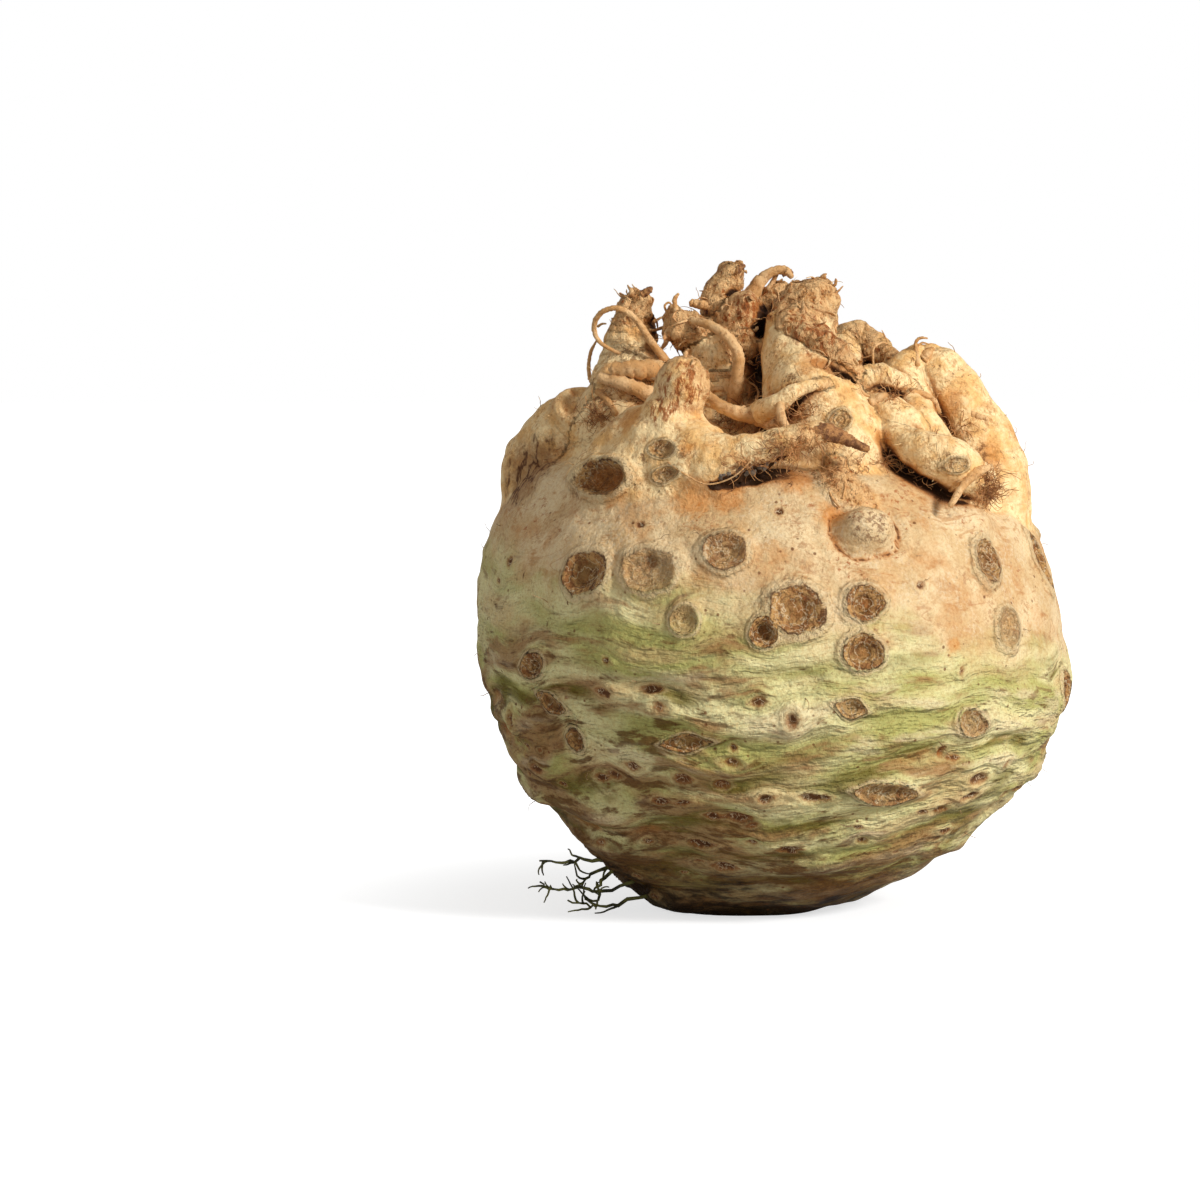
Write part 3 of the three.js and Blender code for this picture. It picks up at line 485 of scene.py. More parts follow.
def smooth_route(route, span_steps=5):
    """Points x, y, z, radius on a smooth curve through a route, closest where the route bends."""
    route = np.array(route, float)
    rows = np.vstack([2 * route[0] - route[1], route, 2 * route[-1] - route[-2]])[:, :3]
    curve = []
    for i in range(len(route) - 1):
        a, b, c, d = rows[i : i + 4]
        before, here, after = (math.sqrt(np.linalg.norm(q - p)) for p, q in ((a, b), (b, c), (c, d)))
        leave = ((b - a) / before - (c - a) / (before + here) + (c - b) / here) * here
        arrive = ((c - b) / here - (d - b) / (here + after) + (d - c) / after) * here
        for step in range(span_steps):
            t = step / span_steps
            place = (2 * t**3 - 3 * t**2 + 1) * b + (t**3 - 2 * t**2 + t) * leave
            place = place + (3 * t**2 - 2 * t**3) * c + (t**3 - t**2) * arrive
            share = t * t * (3 - 2 * t)
            curve.append([*place, route[i, 3] * (1 - share) + route[i + 1, 3] * share])
    curve.append(route[-1])
    return np.array(curve)


THICK_LEGS = {name: smooth_route(route) for name, route in LEGS.items() if name not in THIN_ROOTS}


def box_round(curve, margin):
    """The lowest and highest corners of a box round a curve, with a margin."""
    return curve[:, :3].min(axis=0) - margin, curve[:, :3].max(axis=0) + margin


def leg_distance(points, curve):
    """The distance of points from a leg's surface, and where along the leg each is nearest."""
    best = np.full(len(points), 1e3)
    place = np.zeros(len(points))
    for i in range(len(curve) - 1):
        start, end = curve[i], curve[i + 1]
        span = end[:3] - start[:3]
        share = np.clip((points - start[:3]) @ span / (span @ span), 0, 1)
        gap = np.linalg.norm(points - start[:3] - share[:, None] * span, axis=1)
        gap -= start[3] * (1 - share) + end[3] * share
        nearer = gap < best
        best = np.where(nearer, gap, best)
        place = np.where(nearer, (i + share) / (len(curve) - 1), place)
    return best, place


def smooth_min(a, b, width):
    near = np.maximum(width - np.abs(a - b), 0) / width
    return np.minimum(a, b) - near * near * width / 4


def snapped(name, points, distance, curve):
    """Cuts a leg's distance off by a rough face across its tip."""
    tip = curve[-1, :3]
    heading = tip - curve[-3, :3]
    heading = heading / np.linalg.norm(heading)
    past = (points - tip) @ heading + 0.35 * curve[-1, 3]
    rough = 0.5 * noise(points, 1.7, seed=len(name)) + 0.5 * noise(points, 3.3, seed=len(name) + 7)
    return np.maximum(distance, past + 0.9 * rough)


class Field:
    """Distances from a surface on a grid of points, negative inside, in millimetres."""

    def __init__(self, low, high, step):
        self.low, self.step = np.array(low, float), step
        self.counts = np.ceil((np.array(high) - self.low) / step).astype(int) + 1
        self.values = np.full(self.counts, FAR, dtype=np.float32)

    def window(self, low, high):
        """The part of the grid between two corners, as slices and as the points in it."""
        first = np.clip(np.floor((low - self.low) / self.step).astype(int), 0, self.counts)
        last = np.clip(np.ceil((high - self.low) / self.step).astype(int) + 1, first, self.counts)
        axes = [self.low[i] + self.step * np.arange(first[i], last[i]) for i in range(3)]
        points = np.stack(np.meshgrid(*axes, indexing="ij"), axis=-1).reshape(-1, 3)
        return tuple(slice(first[i], last[i]) for i in range(3)), points

    def everything(self):
        return self.window(self.low, self.low + self.step * self.counts)

    def at(self, points):
        """The distance at any points, between the grid's own."""
        places = np.clip((points - self.low) / self.step, 0, self.counts - 1.001)
        base = places.astype(int)
        return blended(base, places - base, lambda cells: self.values[tuple(cells.T)])

    def slope(self, points):
        """Unit directions straight out of the surface."""
        reach = 0.7 * self.step
        slopes = [self.at(points + reach * axis) - self.at(points - reach * axis) for axis in np.eye(3)]
        slope = np.stack(slopes, axis=1)
        return slope / np.maximum(np.linalg.norm(slope, axis=1), 1e-6)[:, None]

    def polygons(self, lowest, highest):
        """The surface's points, and its faces whose middles lie between two heights."""
        grid = openvdb.FloatGrid(background=FAR)
        grid.copyFromArray(self.values)
        places, triangles, quads = grid.convertToPolygons(isovalue=0.0, adaptivity=0.0)
        places = places * self.step + self.low
        faces = []
        for kind in (triangles, quads):
            middles = places[kind, 2].mean(axis=1)
            faces += kind[(middles > lowest) & (middles <= highest)].tolist()
        used = np.unique(np.concatenate([np.ravel(face) for face in faces]))
        renumbered = np.full(len(places), -1)
        renumbered[used] = np.arange(len(used))
        return places[used], [renumbered[face].tolist() for face in faces]


def bulb_field(grid):
    field = Field(*grid)
    where, points = field.everything()
    unit, azimuth, latitude = directions(points)
    distance = np.linalg.norm(points - BULB_CENTRE, axis=1) - smooth_radius(unit, azimuth, latitude)
    field.values[where] = distance.reshape(field.values[where].shape)
    return field


def whole_fields(bulb, grid):
    """The field of the whole root, and the field of its legs alone."""
    whole, legs = Field(*grid), Field(*grid)
    whole.values[:] = bulb.values
    for name, curve in THICK_LEGS.items():
        where, points = whole.window(*box_round(curve, curve[:, 3].max() + 6))
        shape = whole.values[where].shape
        outside = np.flatnonzero(bulb.values[where].ravel() > -5)
        if len(outside) == 0:
            continue
        points = points[outside]
        distance, place = leg_distance(points, curve)
        thickness = min(LEGS[name][1][3], 8)
        distance -= 0.1 * thickness * noise(points, 4.5 + 0.5 * thickness, seed=len(name))
        if name in RAGGED:
            torn = 1.1 * np.abs(noise(points, 3.2, seed=len(name) + 20)) - 0.4
            torn += 0.3 * noise(points, 1.5, seed=31)
            distance -= torn * smooth_step(place, BARK[name][0], BARK[name][0] + 0.2)
        if name in SNAPPED:
            distance = snapped(name, points, distance, curve)
        full = np.full(np.prod(shape), FAR)
        full[outside] = distance
        full = full.reshape(shape)
        blend = 5 if name in MERGED else 1.8 if LEGS[name][0][3] > 10 else 0.4
        whole.values[where] = smooth_min(whole.values[where], full, blend)
        legs.values[where] = np.minimum(legs.values[where], full)
    return whole, legs


def carved(whole):
    """Hollows out the dark gaps under the front branch and under the torn flap."""
    for route, keeper, dark in HOLLOWS:
        curve = smooth_route(route)
        where, points = whole.window(*box_round(curve, 6))
        if len(points) == 0:
            continue
        inside = leg_distance(points, curve)[0]
        kept = leg_distance(points, THICK_LEGS[keeper])[0]
        carve = -np.maximum(inside + 0.5 * noise(points, 3, seed=30), 0.7 - kept)
        whole.values[where] = np.maximum(whole.values[where], carve.reshape(whole.values[where].shape))


def hollow_shade(points):
    """How dark the painted shade on the walls of the carved hollows is, and 0 away from them."""
    shade = np.zeros(len(points))
    for route, keeper, dark in HOLLOWS:
        distance = leg_distance(points, smooth_route(route))[0]
        shade = np.maximum(shade, dark * (1 - smooth_step(distance, 0.2, 1.0)))
    return shade


def add_object(name, data):
    made = bpy.data.objects.new(name, data)
    bpy.context.scene.collection.objects.link(made)
    return made


def add_mesh(name, points_mm, faces):
    """A new object with this mesh, in metres, that rides on the root."""
    mesh = bpy.data.meshes.new(name)
    mesh.from_pydata((np.asarray(points_mm) * MM).tolist(), [], faces)
    mesh.validate()
    mesh.update()
    mesh.shade_smooth()
    piece = add_object(name, mesh)
    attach(piece, "root")
    return piece


def leg_places(points):
    """For each point, how far its nearest leg is, how much bark that leg has there, how far along
    the leg it lies in millimetres, and how wrinkled that leg is."""
    nearest = np.full(len(points), 1e3)
    bark, ring, ringed = (np.zeros(len(points)) for i in range(3))
    for name, curve in THICK_LEGS.items():
        length = np.linalg.norm(np.diff(curve[:, :3], axis=0), axis=1).sum()
        low, high = box_round(curve, curve[:, 3].max() + 3)
        close = np.flatnonzero(np.all((points > low) & (points < high), axis=1))
        distance, place = leg_distance(points[close], curve)
        start, cover = BARK.get(name, (0.5, 0.5))
        nearer = distance < nearest[close]
        here = close[nearer]
        bark[here] = (cover * smooth_step(place, start, start + 0.3))[nearer]
        ring[here] = place[nearer] * length + RING_GAP * list(LEGS).index(name)
        ringed[here] = 1.0 if name in RINGED else 0.0 if name in MERGED else 0.3
        nearest[here] = distance[nearer]
    return nearest, bark, ring, ringed


def scar_fields(azimuth, latitude, points):
    """The scars' relief, the distance from the nearest large one in its own sizes, that one's tone, the
    same distance for the small ones, and a height that the folds follow, which bends round the scars."""
    relief = np.zeros(len(azimuth))
    flow = points[:, 2] + 4.0 * noise(points, 30, seed=8) + 1.8 * noise(points, 12, seed=9)
    nearest, mark = (np.full(len(azimuth), NO_SCAR) for i in range(2))
    tone = np.zeros(len(azimuth))
    large = SCARS + back_scars()
    warp = 0.1 * noise(points, 3.4, seed=5) + 0.05 * noise(points, 1.7, seed=15)
    for scar in large + SMALL_SCARS + seeded_scars():
        close = np.flatnonzero(offset_from(scar, azimuth, latitude) < NO_SCAR)
        distance = offset_from(scar, azimuth[close], latitude[close]) + warp[close]
        size = min(1, scar[3] / 4)
        rim = np.exp(-(((distance - 1) / 0.35) ** 2))
        pit = 1 - smooth_step(distance, 0.2, 0.95)
        change = size * (SCAR_RIM * rim - SCAR_DEPTH * (0.15 + 0.65 * scar[5]) * pit)
        relief[close] = np.where(np.abs(change) > np.abs(relief[close]), change, relief[close])
        if scar in large:
            nearer = distance < nearest[close]
            nearest[close[nearer]] = distance[nearer]
            tone[close[nearer]] = scar[5]
        else:
            mark[close] = np.minimum(mark[close], distance + 0.5 * (1 - scar[5]))
        middle_height = BULB_CENTRE[2] + OUTLINE["front"][6] * math.sin(math.radians(scar[1]))
        flow[close] += 0.8 * (middle_height - points[close, 2]) * np.exp(-((distance / 1.6) ** 2))
    return relief, nearest, tone, mark, flow


def leg_scar_fields(points):
    """The relief of the trimmed scars among the legs, the distance from the nearest one in its own
    sizes, and that one's tone."""
    relief, tone = np.zeros(len(points)), np.zeros(len(points))
    nearest = np.full(len(points), NO_SCAR)
    warp = 0.14 * noise(points, 3.2, seed=35)
    for (x, y, z), half_width, half_height, darkness in LEG_SCARS:
        across, up = points[:, 0] - x, points[:, 2] - z
        distance = np.hypot((across + 0.3 * up) / half_width, (up - 0.25 * across) / half_height)
        size = min(1, half_height / 3.8) ** 2
        distance += (2.6 - 1.6 * size) * warp + 6 * smooth_step(points[:, 1], y + 14, y + 18)
        rim = np.exp(-(((distance - 1.05) / 0.25) ** 2))
        relief += size * (1.2 * rim - 2.2 * (1 - smooth_step(distance, 0.5, 0.95)))
        tone[distance < nearest] = darkness
        nearest = np.minimum(nearest, distance)
    return relief, nearest, tone


def knob_relief(azimuth, latitude, points):
    """The relief of the knobs, and how deep in one of their creases each place is."""
    relief, crease = np.zeros(len(azimuth)), np.zeros(len(azimuth))
    warp = 0.14 * noise(points, 4.5, seed=21) + 0.06 * noise(points, 1.8, seed=22)
    for knob in KNOBS:
        distance = offset_from(knob, azimuth, latitude) + warp
        dome = 1 - smooth_step(distance, 0.55, 1.02)
        rings = np.exp(-(((distance - 1.1) / 0.17) ** 2)) + 0.4 * np.exp(-(((distance - 1.55) / 0.12) ** 2))
        relief += 0.6 * dome - 1.1 * rings
        crease = np.maximum(crease, rings**5)
    return relief, crease


def folds(azimuth, points, flow):
    """Uneven folds of the lower half, from -1 in a valley to 1 on a ridge."""
    flowing = np.column_stack([points[:, :2] / 3.6, flow])
    patches = 0.45 + 0.55 * noise(points, 21, seed=12)
    lower = 1 - smooth_step(points[:, 2], 50, 68)
    loose = noise(flowing, 5.5, seed=10) + 0.5 * noise(flowing, 2.8, seed=11)
    return 0.6 * fold_wave(azimuth, flow) * patches + (0.12 + 0.6 * lower) * loose


def closeness(whole, points, normals):
    """How closed in each place is, from 0 in the open to 1 deep in a crevice."""
    shut = np.zeros(len(points))
    for reach in (2.0, 4.0, 7.0):
        shut += np.clip((reach - whole.at(points + reach * normals)) / reach, 0, 1) / 3
    return shut


def leg_relief(places, bark, ring, ringed):
    """Wrinkles round the legs, fine lengthwise roughness, and crumpled flakes on the bark."""
    round_legs = np.column_stack([ring + 0.7 * noise(places, 5, seed=16), 0.14 * places[:, :2]])
    relief = 0.34 * ringed * noise(round_legs, 1.7, seed=17)
    relief += 0.3 * noise(places * [1.6, 1.6, 0.7], 3.0, seed=4)
    flakes = 0.5 - np.abs(noise(places, 3.0, seed=6)) + 0.6 * (0.5 - np.abs(noise(places, 1.6, seed=7)))
    return relief + 0.95 * bark * flakes


def make_skin_part(name, grid, lowest, highest):
    """The skin between two heights, sampled on its own grid."""
    bulb = bulb_field(grid)
    whole, legs = whole_fields(bulb, grid)
    carved(whole)
    points = whole.everything()[1]
    whole.values[:] = np.maximum(whole.values, -points[:, 2].reshape(whole.values.shape))
    places, faces = whole.polygons(lowest, highest)

    normals = whole.slope(places)
    azimuth, latitude = directions(places)[1:]
    on_bulb = smooth_step(legs.at(places) - bulb.at(places), -0.5, 4)
    low = smooth_step(places[:, 2], 0.2, 2.0)
    scar_relief, scar, tone, mark, flow = scar_fields(azimuth, latitude, places)
    fold = folds(azimuth, places, flow)
    nearest, bark, ring, ringed = leg_places(places)
    patches = 0.34 * noise(places, 7, seed=3) + 0.16 * noise(places, 3, seed=13)
    bark = bark * (1 - smooth_step(nearest, 1.0, 5.0)) + (patches - 0.1) * (1 - on_bulb)
    bark = np.clip(bark, 0, 1)
    raised, crease = knob_relief(azimuth, latitude, places)
    relief = on_bulb * (FOLD_HEIGHT * fold + scar_relief + raised)
    relief += 0.5 * on_bulb * noise(places * [1, 1, 1.4], 11, seed=33)
    relief += 0.2 * noise(places * [1, 1, 1.8], 4.5, seed=1) + 0.12 * noise(places, 2.1, seed=2)
    relief += (1 - on_bulb) * leg_relief(places, bark, ring, ringed)
    leg_scar_relief, leg_scar, leg_tone = leg_scar_fields(places)
    relief += leg_scar_relief
    places = places + normals * (relief * low)[:, None]

    part = add_mesh(name, places, faces)
    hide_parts("celeriac_root")
    scar = np.minimum(np.where(on_bulb > BULB_SHARE, scar, NO_SCAR), leg_scar)
    tone = np.where(leg_scar < 1.5, leg_tone, tone)
    mark = np.where(on_bulb > BULB_SHARE, mark, NO_SCAR)
    # Painted shade: how closed in each place is, with the knobs' creases and the carved hollows' walls
    shut = np.maximum(closeness(whole, places, normals), 0.8 * crease * on_bulb)
    hollow = np.maximum(shut, hollow_shade(places))
    carried = (1 - on_bulb, fold * on_bulb, scar, tone, mark, bark, hollow, flow, ring, ringed)
    for value_name, values in zip(SKIN_VALUES, carried):
        attribute = part.data.attributes.new(value_name, "FLOAT", "POINT")
        attribute.data.foreach_set("value", values.astype(np.float32))
    return part, whole


def srgb(red, green, blue):
    """A screen colour, 0 to 255, as the linear colour that a shader takes."""
    def linear(value):
        share = value / 255
        return share / 12.92 if share <= 0.04045 else ((share + 0.055) / 1.055) ** 2.4
    return (linear(red), linear(green), linear(blue), 1.0)


class Shader:
    """A new material's nodes, with short calls for the few kinds used here."""

    def __init__(self, name):
        self.material = bpy.data.materials.new(name)
        self.material.use_nodes = True
        self.tree = self.material.node_tree
        self.surface = self.tree.nodes["Principled BSDF"]
        self.place = self.scaled(self.node("ShaderNodeTexCoord", {}, "Object"), (1 / MM,) * 3)

    def node(self, kind, values, output, **settings):
        """The output of a new node with these settings, its sockets fed with these values."""
        made = self.tree.nodes.new(kind)
        for name, value in settings.items():
            setattr(made, name, value)
        for name, value in values.items():
            self.feed(made.inputs[name], value)
        return made.outputs[output]

    def feed(self, socket, value):
        if isinstance(value, bpy.types.NodeSocket):
            self.tree.links.new(value, socket)
        else:
            socket.default_value = value

    def scaled(self, vector, scale):
        return self.node("ShaderNodeVectorMath", {0: vector, 1: scale}, 0, operation="MULTIPLY")

    def math(self, operation, a, b=0.0, c=0.0):
        return self.node("ShaderNodeMath", {0: a, 1: b, 2: c}, 0, operation=operation)

    def product(self, *values):
        result = values[0]
        for value in values[1:]:
            result = self.math("MULTIPLY", result, value)
        return result

    def attribute(self, name):
        return self.node("ShaderNodeAttribute", {}, "Fac", attribute_name=name)

    def parts(self, vector):
        """A vector's x, y and z."""
        return self.node("ShaderNodeSeparateXYZ", {0: vector}, slice(0, 3))

    def joined(self, x, y, z):
        return self.node("ShaderNodeCombineXYZ", {0: x, 1: y, 2: z}, 0)

    def flow_place(self, flow, stretch):
        """Coordinates that run with the folds: features are drawn out this many times along them."""
        x, y, z = self.parts(self.scaled(self.place, (1 / stretch, 1 / stretch, 1)))
        return self.joined(x, y, flow)

    def noise(self, size, detail=3.0, rough=0.55, stretch=(1, 1, 1), offset=0.0, place=None):
        """Noise with swellings of this size in millimetres, longer along the stretched axes."""
        scale = tuple(1 / (size * factor) for factor in stretch)
        scaled = self.scaled(self.place if place is None else place, scale)
        move = (offset, -offset, 0.7 * offset)
        moved = self.node("ShaderNodeVectorMath", {0: scaled, 1: move}, 0, operation="ADD")
        values = {"Vector": moved, "Scale": 1.0, "Detail": detail, "Roughness": rough}
        return self.node("ShaderNodeTexNoise", values, "Fac")

    def wobble(self, value, amount, size, offset=0.0):
        """A value moved up and down by fine noise."""
        change = self.math("SUBTRACT", self.noise(size, 3.0, 0.7, offset=offset), 0.5)
        return self.math("MULTIPLY_ADD", change, amount, value)

    def dots(self, size):
        """Distance from scattered points this far apart, in shares of the gap."""
        values = {"Vector": self.scaled(self.place, (1 / size,) * 3), "Scale": 1.0}
        return self.node("ShaderNodeTexVoronoi", values, "Distance")

    def spots(self, places):
        """1 in soft ragged spots, given as middles and radii in millimetres, and 0 away from them."""
        nearest = 9.0
        for middle, radius in places:
            ends = {0: self.place, 1: middle}
            away = self.node("ShaderNodeVectorMath", ends, "Value", operation="DISTANCE")
            nearest = self.math("MINIMUM", self.math("DIVIDE", away, radius), nearest)
        return self.step(self.wobble(nearest, 1.2, 2.4), 1.0, 0.4)

    def step(self, value, low, high, top=1.0):
        """0 where value is at low, and top where it is at high, with a smooth change between."""
        values = {"Value": value, "From Min": low, "From Max": high, "To Max": top}
        return self.node("ShaderNodeMapRange", values, "Result", interpolation_type="SMOOTHSTEP")

    def patches(self, size, low, high, top=1.0, **settings):
        """Patches of noise: 0 where it is at low, and top where it is at high."""
        return self.step(self.noise(size, **settings), low, high, top)

    def band(self, value, middle, width):
        """1 where value is at the middle, and 0 a width away on both sides."""
        away = self.math("ABSOLUTE", self.math("SUBTRACT", value, middle))
        return self.step(away, width, 0.0)

    def lines(self, size, width, **settings):
        """Thin wandering lines: 1 on a line, 0 beside it."""
        return self.band(self.noise(size, **settings), 0.5, width)

    def mix(self, share, a, b, blend="MIX"):
        return self.node("ShaderNodeMix", {0: share, 6: a, 7: b}, 2, data_type="RGBA", blend_type=blend)

    def over(self, colour, *layers):
        """A colour with layers laid over it in turn, each given as its share and its own colour."""
        for share, paint in layers:
            colour = self.mix(share, colour, paint)
        return colour

    def bump(self, layers):
        """A normal bent by layers of height, each with its distance in millimetres and its strength."""
        normal = None
        for height, distance, strength in layers:
            values = {"Height": height, "Distance": distance * MM, "Strength": strength}
            if normal is not None:
                values["Normal"] = normal
            normal = self.node("ShaderNodeBump", values, "Normal")
        return normal

    def finished(self, colour, roughness, normal):
        for name, value in (("Base Color", colour), ("Roughness", roughness), ("Normal", normal)):
            self.feed(self.surface.inputs[name], value)
        return self.material


CREAM = srgb(212, 179, 129)
CREAM_PALE = srgb(230, 204, 158)
PEACH = srgb(204, 156, 102)
SCURF = srgb(224, 202, 164)
ROSE = srgb(184, 142, 100)
RUST = srgb(164, 88, 34)
ORANGE = srgb(206, 132, 54)
SPECK = srgb(112, 66, 30)
LEG_CREAM = srgb(252, 223, 168)
LEG_GOLD = srgb(238, 190, 122)
LEG_TAN = srgb(208, 154, 92)
BARK_PALE = srgb(230, 186, 130)
BARK_BROWN = srgb(184, 128, 72)
BARK_DARK = srgb(84, 46, 18)
GREEN_PALE = srgb(232, 222, 164)
GREEN = srgb(182, 178, 104)
OLIVE = srgb(112, 102, 28)
TAN = srgb(212, 180, 126)
ROSE_BROWN = srgb(158, 114, 70)
LOW_BROWN = srgb(104, 68, 22)
BLACK_BROWN = srgb(34, 18, 2)
SCAR_GOLD = srgb(208, 160, 98)
SCAR_BROWN = srgb(156, 102, 54)
# The orange brown of the painted shade in crevices
CREVICE_SHADE = srgb(176, 112, 52)


def upper_skin(s, flowing):
    """Warm cream with broad pale and peach clouds, a scurfy grain, and a few rusty strokes and specks."""
    clouds = s.noise(8, 4.0, 0.6, offset=21)
    grain = s.noise(0.9, 4.0, 0.7, offset=11)
    strokes = s.patches(1.5, 0.53, 0.63, rough=0.6, place=flowing, offset=24)
    rusty = s.patches(1.4, 0.55, 0.63, detail=4.0, rough=0.75, offset=26)
    cracks = s.lines(6.0, 0.012, place=flowing, detail=2.0, offset=6)
    return s.over(
        s.mix(s.patches(14, 0.4, 0.62), CREAM_PALE, CREAM),
        (s.patches(9, 0.5, 0.66, 0.8, detail=4.0, rough=0.6, offset=9), PEACH),
        (s.product(s.step(clouds, 0.46, 0.6), s.step(grain, 0.46, 0.6), 0.6), SCURF),
        (s.product(s.step(clouds, 0.48, 0.38), s.step(grain, 0.52, 0.42), 0.7), ROSE),
        (s.product(strokes, s.patches(9, 0.48, 0.6, detail=2.0, offset=22), 0.55), BARK_BROWN),
        (s.patches(15, 0.56, 0.68, 0.22, offset=23), ORANGE),
        (s.product(rusty, s.patches(8, 0.52, 0.62, offset=25), 0.75), RUST),
        (s.product(cracks, s.patches(9, 0.5, 0.6, detail=2.0, offset=28), 0.4), RUST),
    )


def lower_skin(s, flowing, fold, level):
    """Smooth green and tan clouds, brown smears that run with the folds, olive painted shade in their
    valleys and pale painted highlights on their ridges.
    """
    browner = s.step(level, 56, 10, 0.13)
    brown = s.math("ADD", s.noise(6, 4.0, 0.6, place=flowing, offset=17), browner)
    olive = s.patches(6, 0.43, 0.56, place=flowing, offset=13)
    pale = s.patches(4, 0.44, 0.6, place=flowing, offset=14)
    smear = s.math("ADD", s.noise(2.4, 4.0, 0.62, place=flowing, offset=18), browner)
    streaks = s.patches(1.5, 0.55, 0.66, rough=0.6, place=flowing, offset=19)
    grain = s.patches(0.9, 0.57, 0.66, detail=4.0, rough=0.75, offset=37)
    return s.over(
        s.mix(s.patches(9, 0.4, 0.62, detail=2.0, rough=0.5, place=flowing, offset=4), GREEN_PALE, GREEN),
        (s.patches(7, 0.5, 0.64, 0.6, rough=0.5, place=flowing, offset=31), TAN),
        (s.step(brown, 0.54, 0.68, 0.8), ROSE_BROWN),
        (s.step(smear, 0.6, 0.72, 0.85), LOW_BROWN),
        # Painted shade: darker olive in the fold valleys. Painted highlight: pale scurf on the ridges.
        (s.product(s.step(fold, 0.0, -0.4), olive, 0.85), OLIVE),
        (s.product(s.step(fold, 0.1, 0.5), pale, 0.5), SCURF),
        (s.product(streaks, s.patches(7, 0.5, 0.62, detail=2.0, place=flowing, offset=36), 0.6), SPECK),
        (s.product(grain, s.patches(8, 0.46, 0.6, detail=2.0, offset=38), 0.55), SPECK),
    )


def leg_skin(s, bark, wrinkles, ringed, rough):
    """Cream to gold flesh with wrinkles round it, then pale rough bark with dark and rusty flecks."""
    crust = s.over(
        s.mix(s.step(rough, 0.38, 0.52), BARK_BROWN, BARK_PALE),
        (s.step(rough, 0.4, 0.33, 0.8), BARK_DARK),
        (s.patches(1.7, 0.6, 0.67, 0.8, detail=4.0, rough=0.75, offset=64), BARK_DARK),
        (s.product(s.patches(4, 0.48, 0.6, offset=68), s.patches(1.1, 0.52, 0.62, offset=69)), RUST),
    )
    worn = s.patches(5, 0.47, 0.58, offset=57)
    return s.over(
        s.mix(s.patches(6, 0.42, 0.64, detail=5.0, rough=0.6, offset=50), LEG_CREAM, LEG_GOLD),
        (s.step(s.wobble(bark, 0.5, 5, 52), 0.1, 0.8, 0.75), LEG_TAN),
        (s.product(s.step(wrinkles, 0.5, 0.64), s.step(ringed, 0.0, 1.0), 0.6), LEG_TAN),
        (s.patches(7, 0.56, 0.7, 0.4, rough=0.6, offset=55), ORANGE),
        (s.product(worn, s.patches(1.1, 0.5, 0.58, detail=4.0, rough=0.75, offset=58), 0.6), BARK_BROWN),
        (s.product(worn, s.patches(0.9, 0.6, 0.68, detail=4.0, rough=0.7, offset=59), 0.8), SPECK),
        (s.step(s.wobble(bark, 1.2, 2.2, 60), 0.4, 0.62, 0.9), crust),
    )


def scarred(s, colour, place, tone):
    """Scars: a faint halo, thin brown rings round a pale lip, and a rusty core with dark and pale flakes."""
    edge = s.patches(2.6, 0.4, 0.52, offset=76)
    more = s.math("MULTIPLY_ADD", tone, 0.5, 0.45)
    core = s.over(
        s.mix(s.patches(2.6, 0.42, 0.6, detail=4.0, rough=0.6, offset=73), SCAR_GOLD, SCAR_BROWN),
        (s.product(s.step(place, 0.75, 0.35), tone, 0.55), LOW_BROWN),
        (s.product(s.patches(1.5, 0.54, 0.62, detail=4.0, rough=0.7, offset=74), tone, 0.8), BARK_DARK),
        (s.product(s.lines(2.2, 0.035, detail=2.0, offset=71), 0.75), SCURF),
        (s.patches(2.0, 0.6, 0.68, 0.6, detail=4.0, rough=0.7, offset=79), RUST),
    )
    return s.over(
        colour,
        (s.product(s.step(place, 1.7, 1.15), edge, 0.3), TAN),
        (s.product(s.band(place, 1.14, 0.16), s.patches(3, 0.3, 0.42, offset=77), 0.6), CREAM_PALE),
        (s.product(s.step(place, 1.0, 0.9), more), core),
        *((s.product(s.band(place, middle, width), edge, more, share), BARK_DARK)
          for middle, width, share in SCAR_RINGS),
    )


def smudged(s, colour, place):
    """Small scars: a tan rim, a brown smudge and a dark middle with pale fibres in it."""
    return s.over(
        colour,
        (s.product(s.band(place, 1.15, 0.35), 0.35), TAN),
        (s.step(place, 1.1, 0.75, 0.75), SCAR_BROWN),
        (s.step(place, 0.82, 0.5, 0.85), BARK_DARK),
        (s.product(s.lines(1.4, 0.04, detail=2.0, offset=81), s.step(place, 0.9, 0.6), 0.7), SCURF),
    )


def on_skin(bulb, crown, spots):
    """The spots with their middles moved to the nearest place on the skin."""
    moved = []
    for middle, radius in spots:
        place = np.array([middle], float)
        whole = crown if middle[2] > SPLIT_HEIGHT else bulb
        for i in range(4):
            place -= whole.at(place)[:, None] * whole.slope(place)
        moved.append((tuple(place[0]), radius))
    return moved


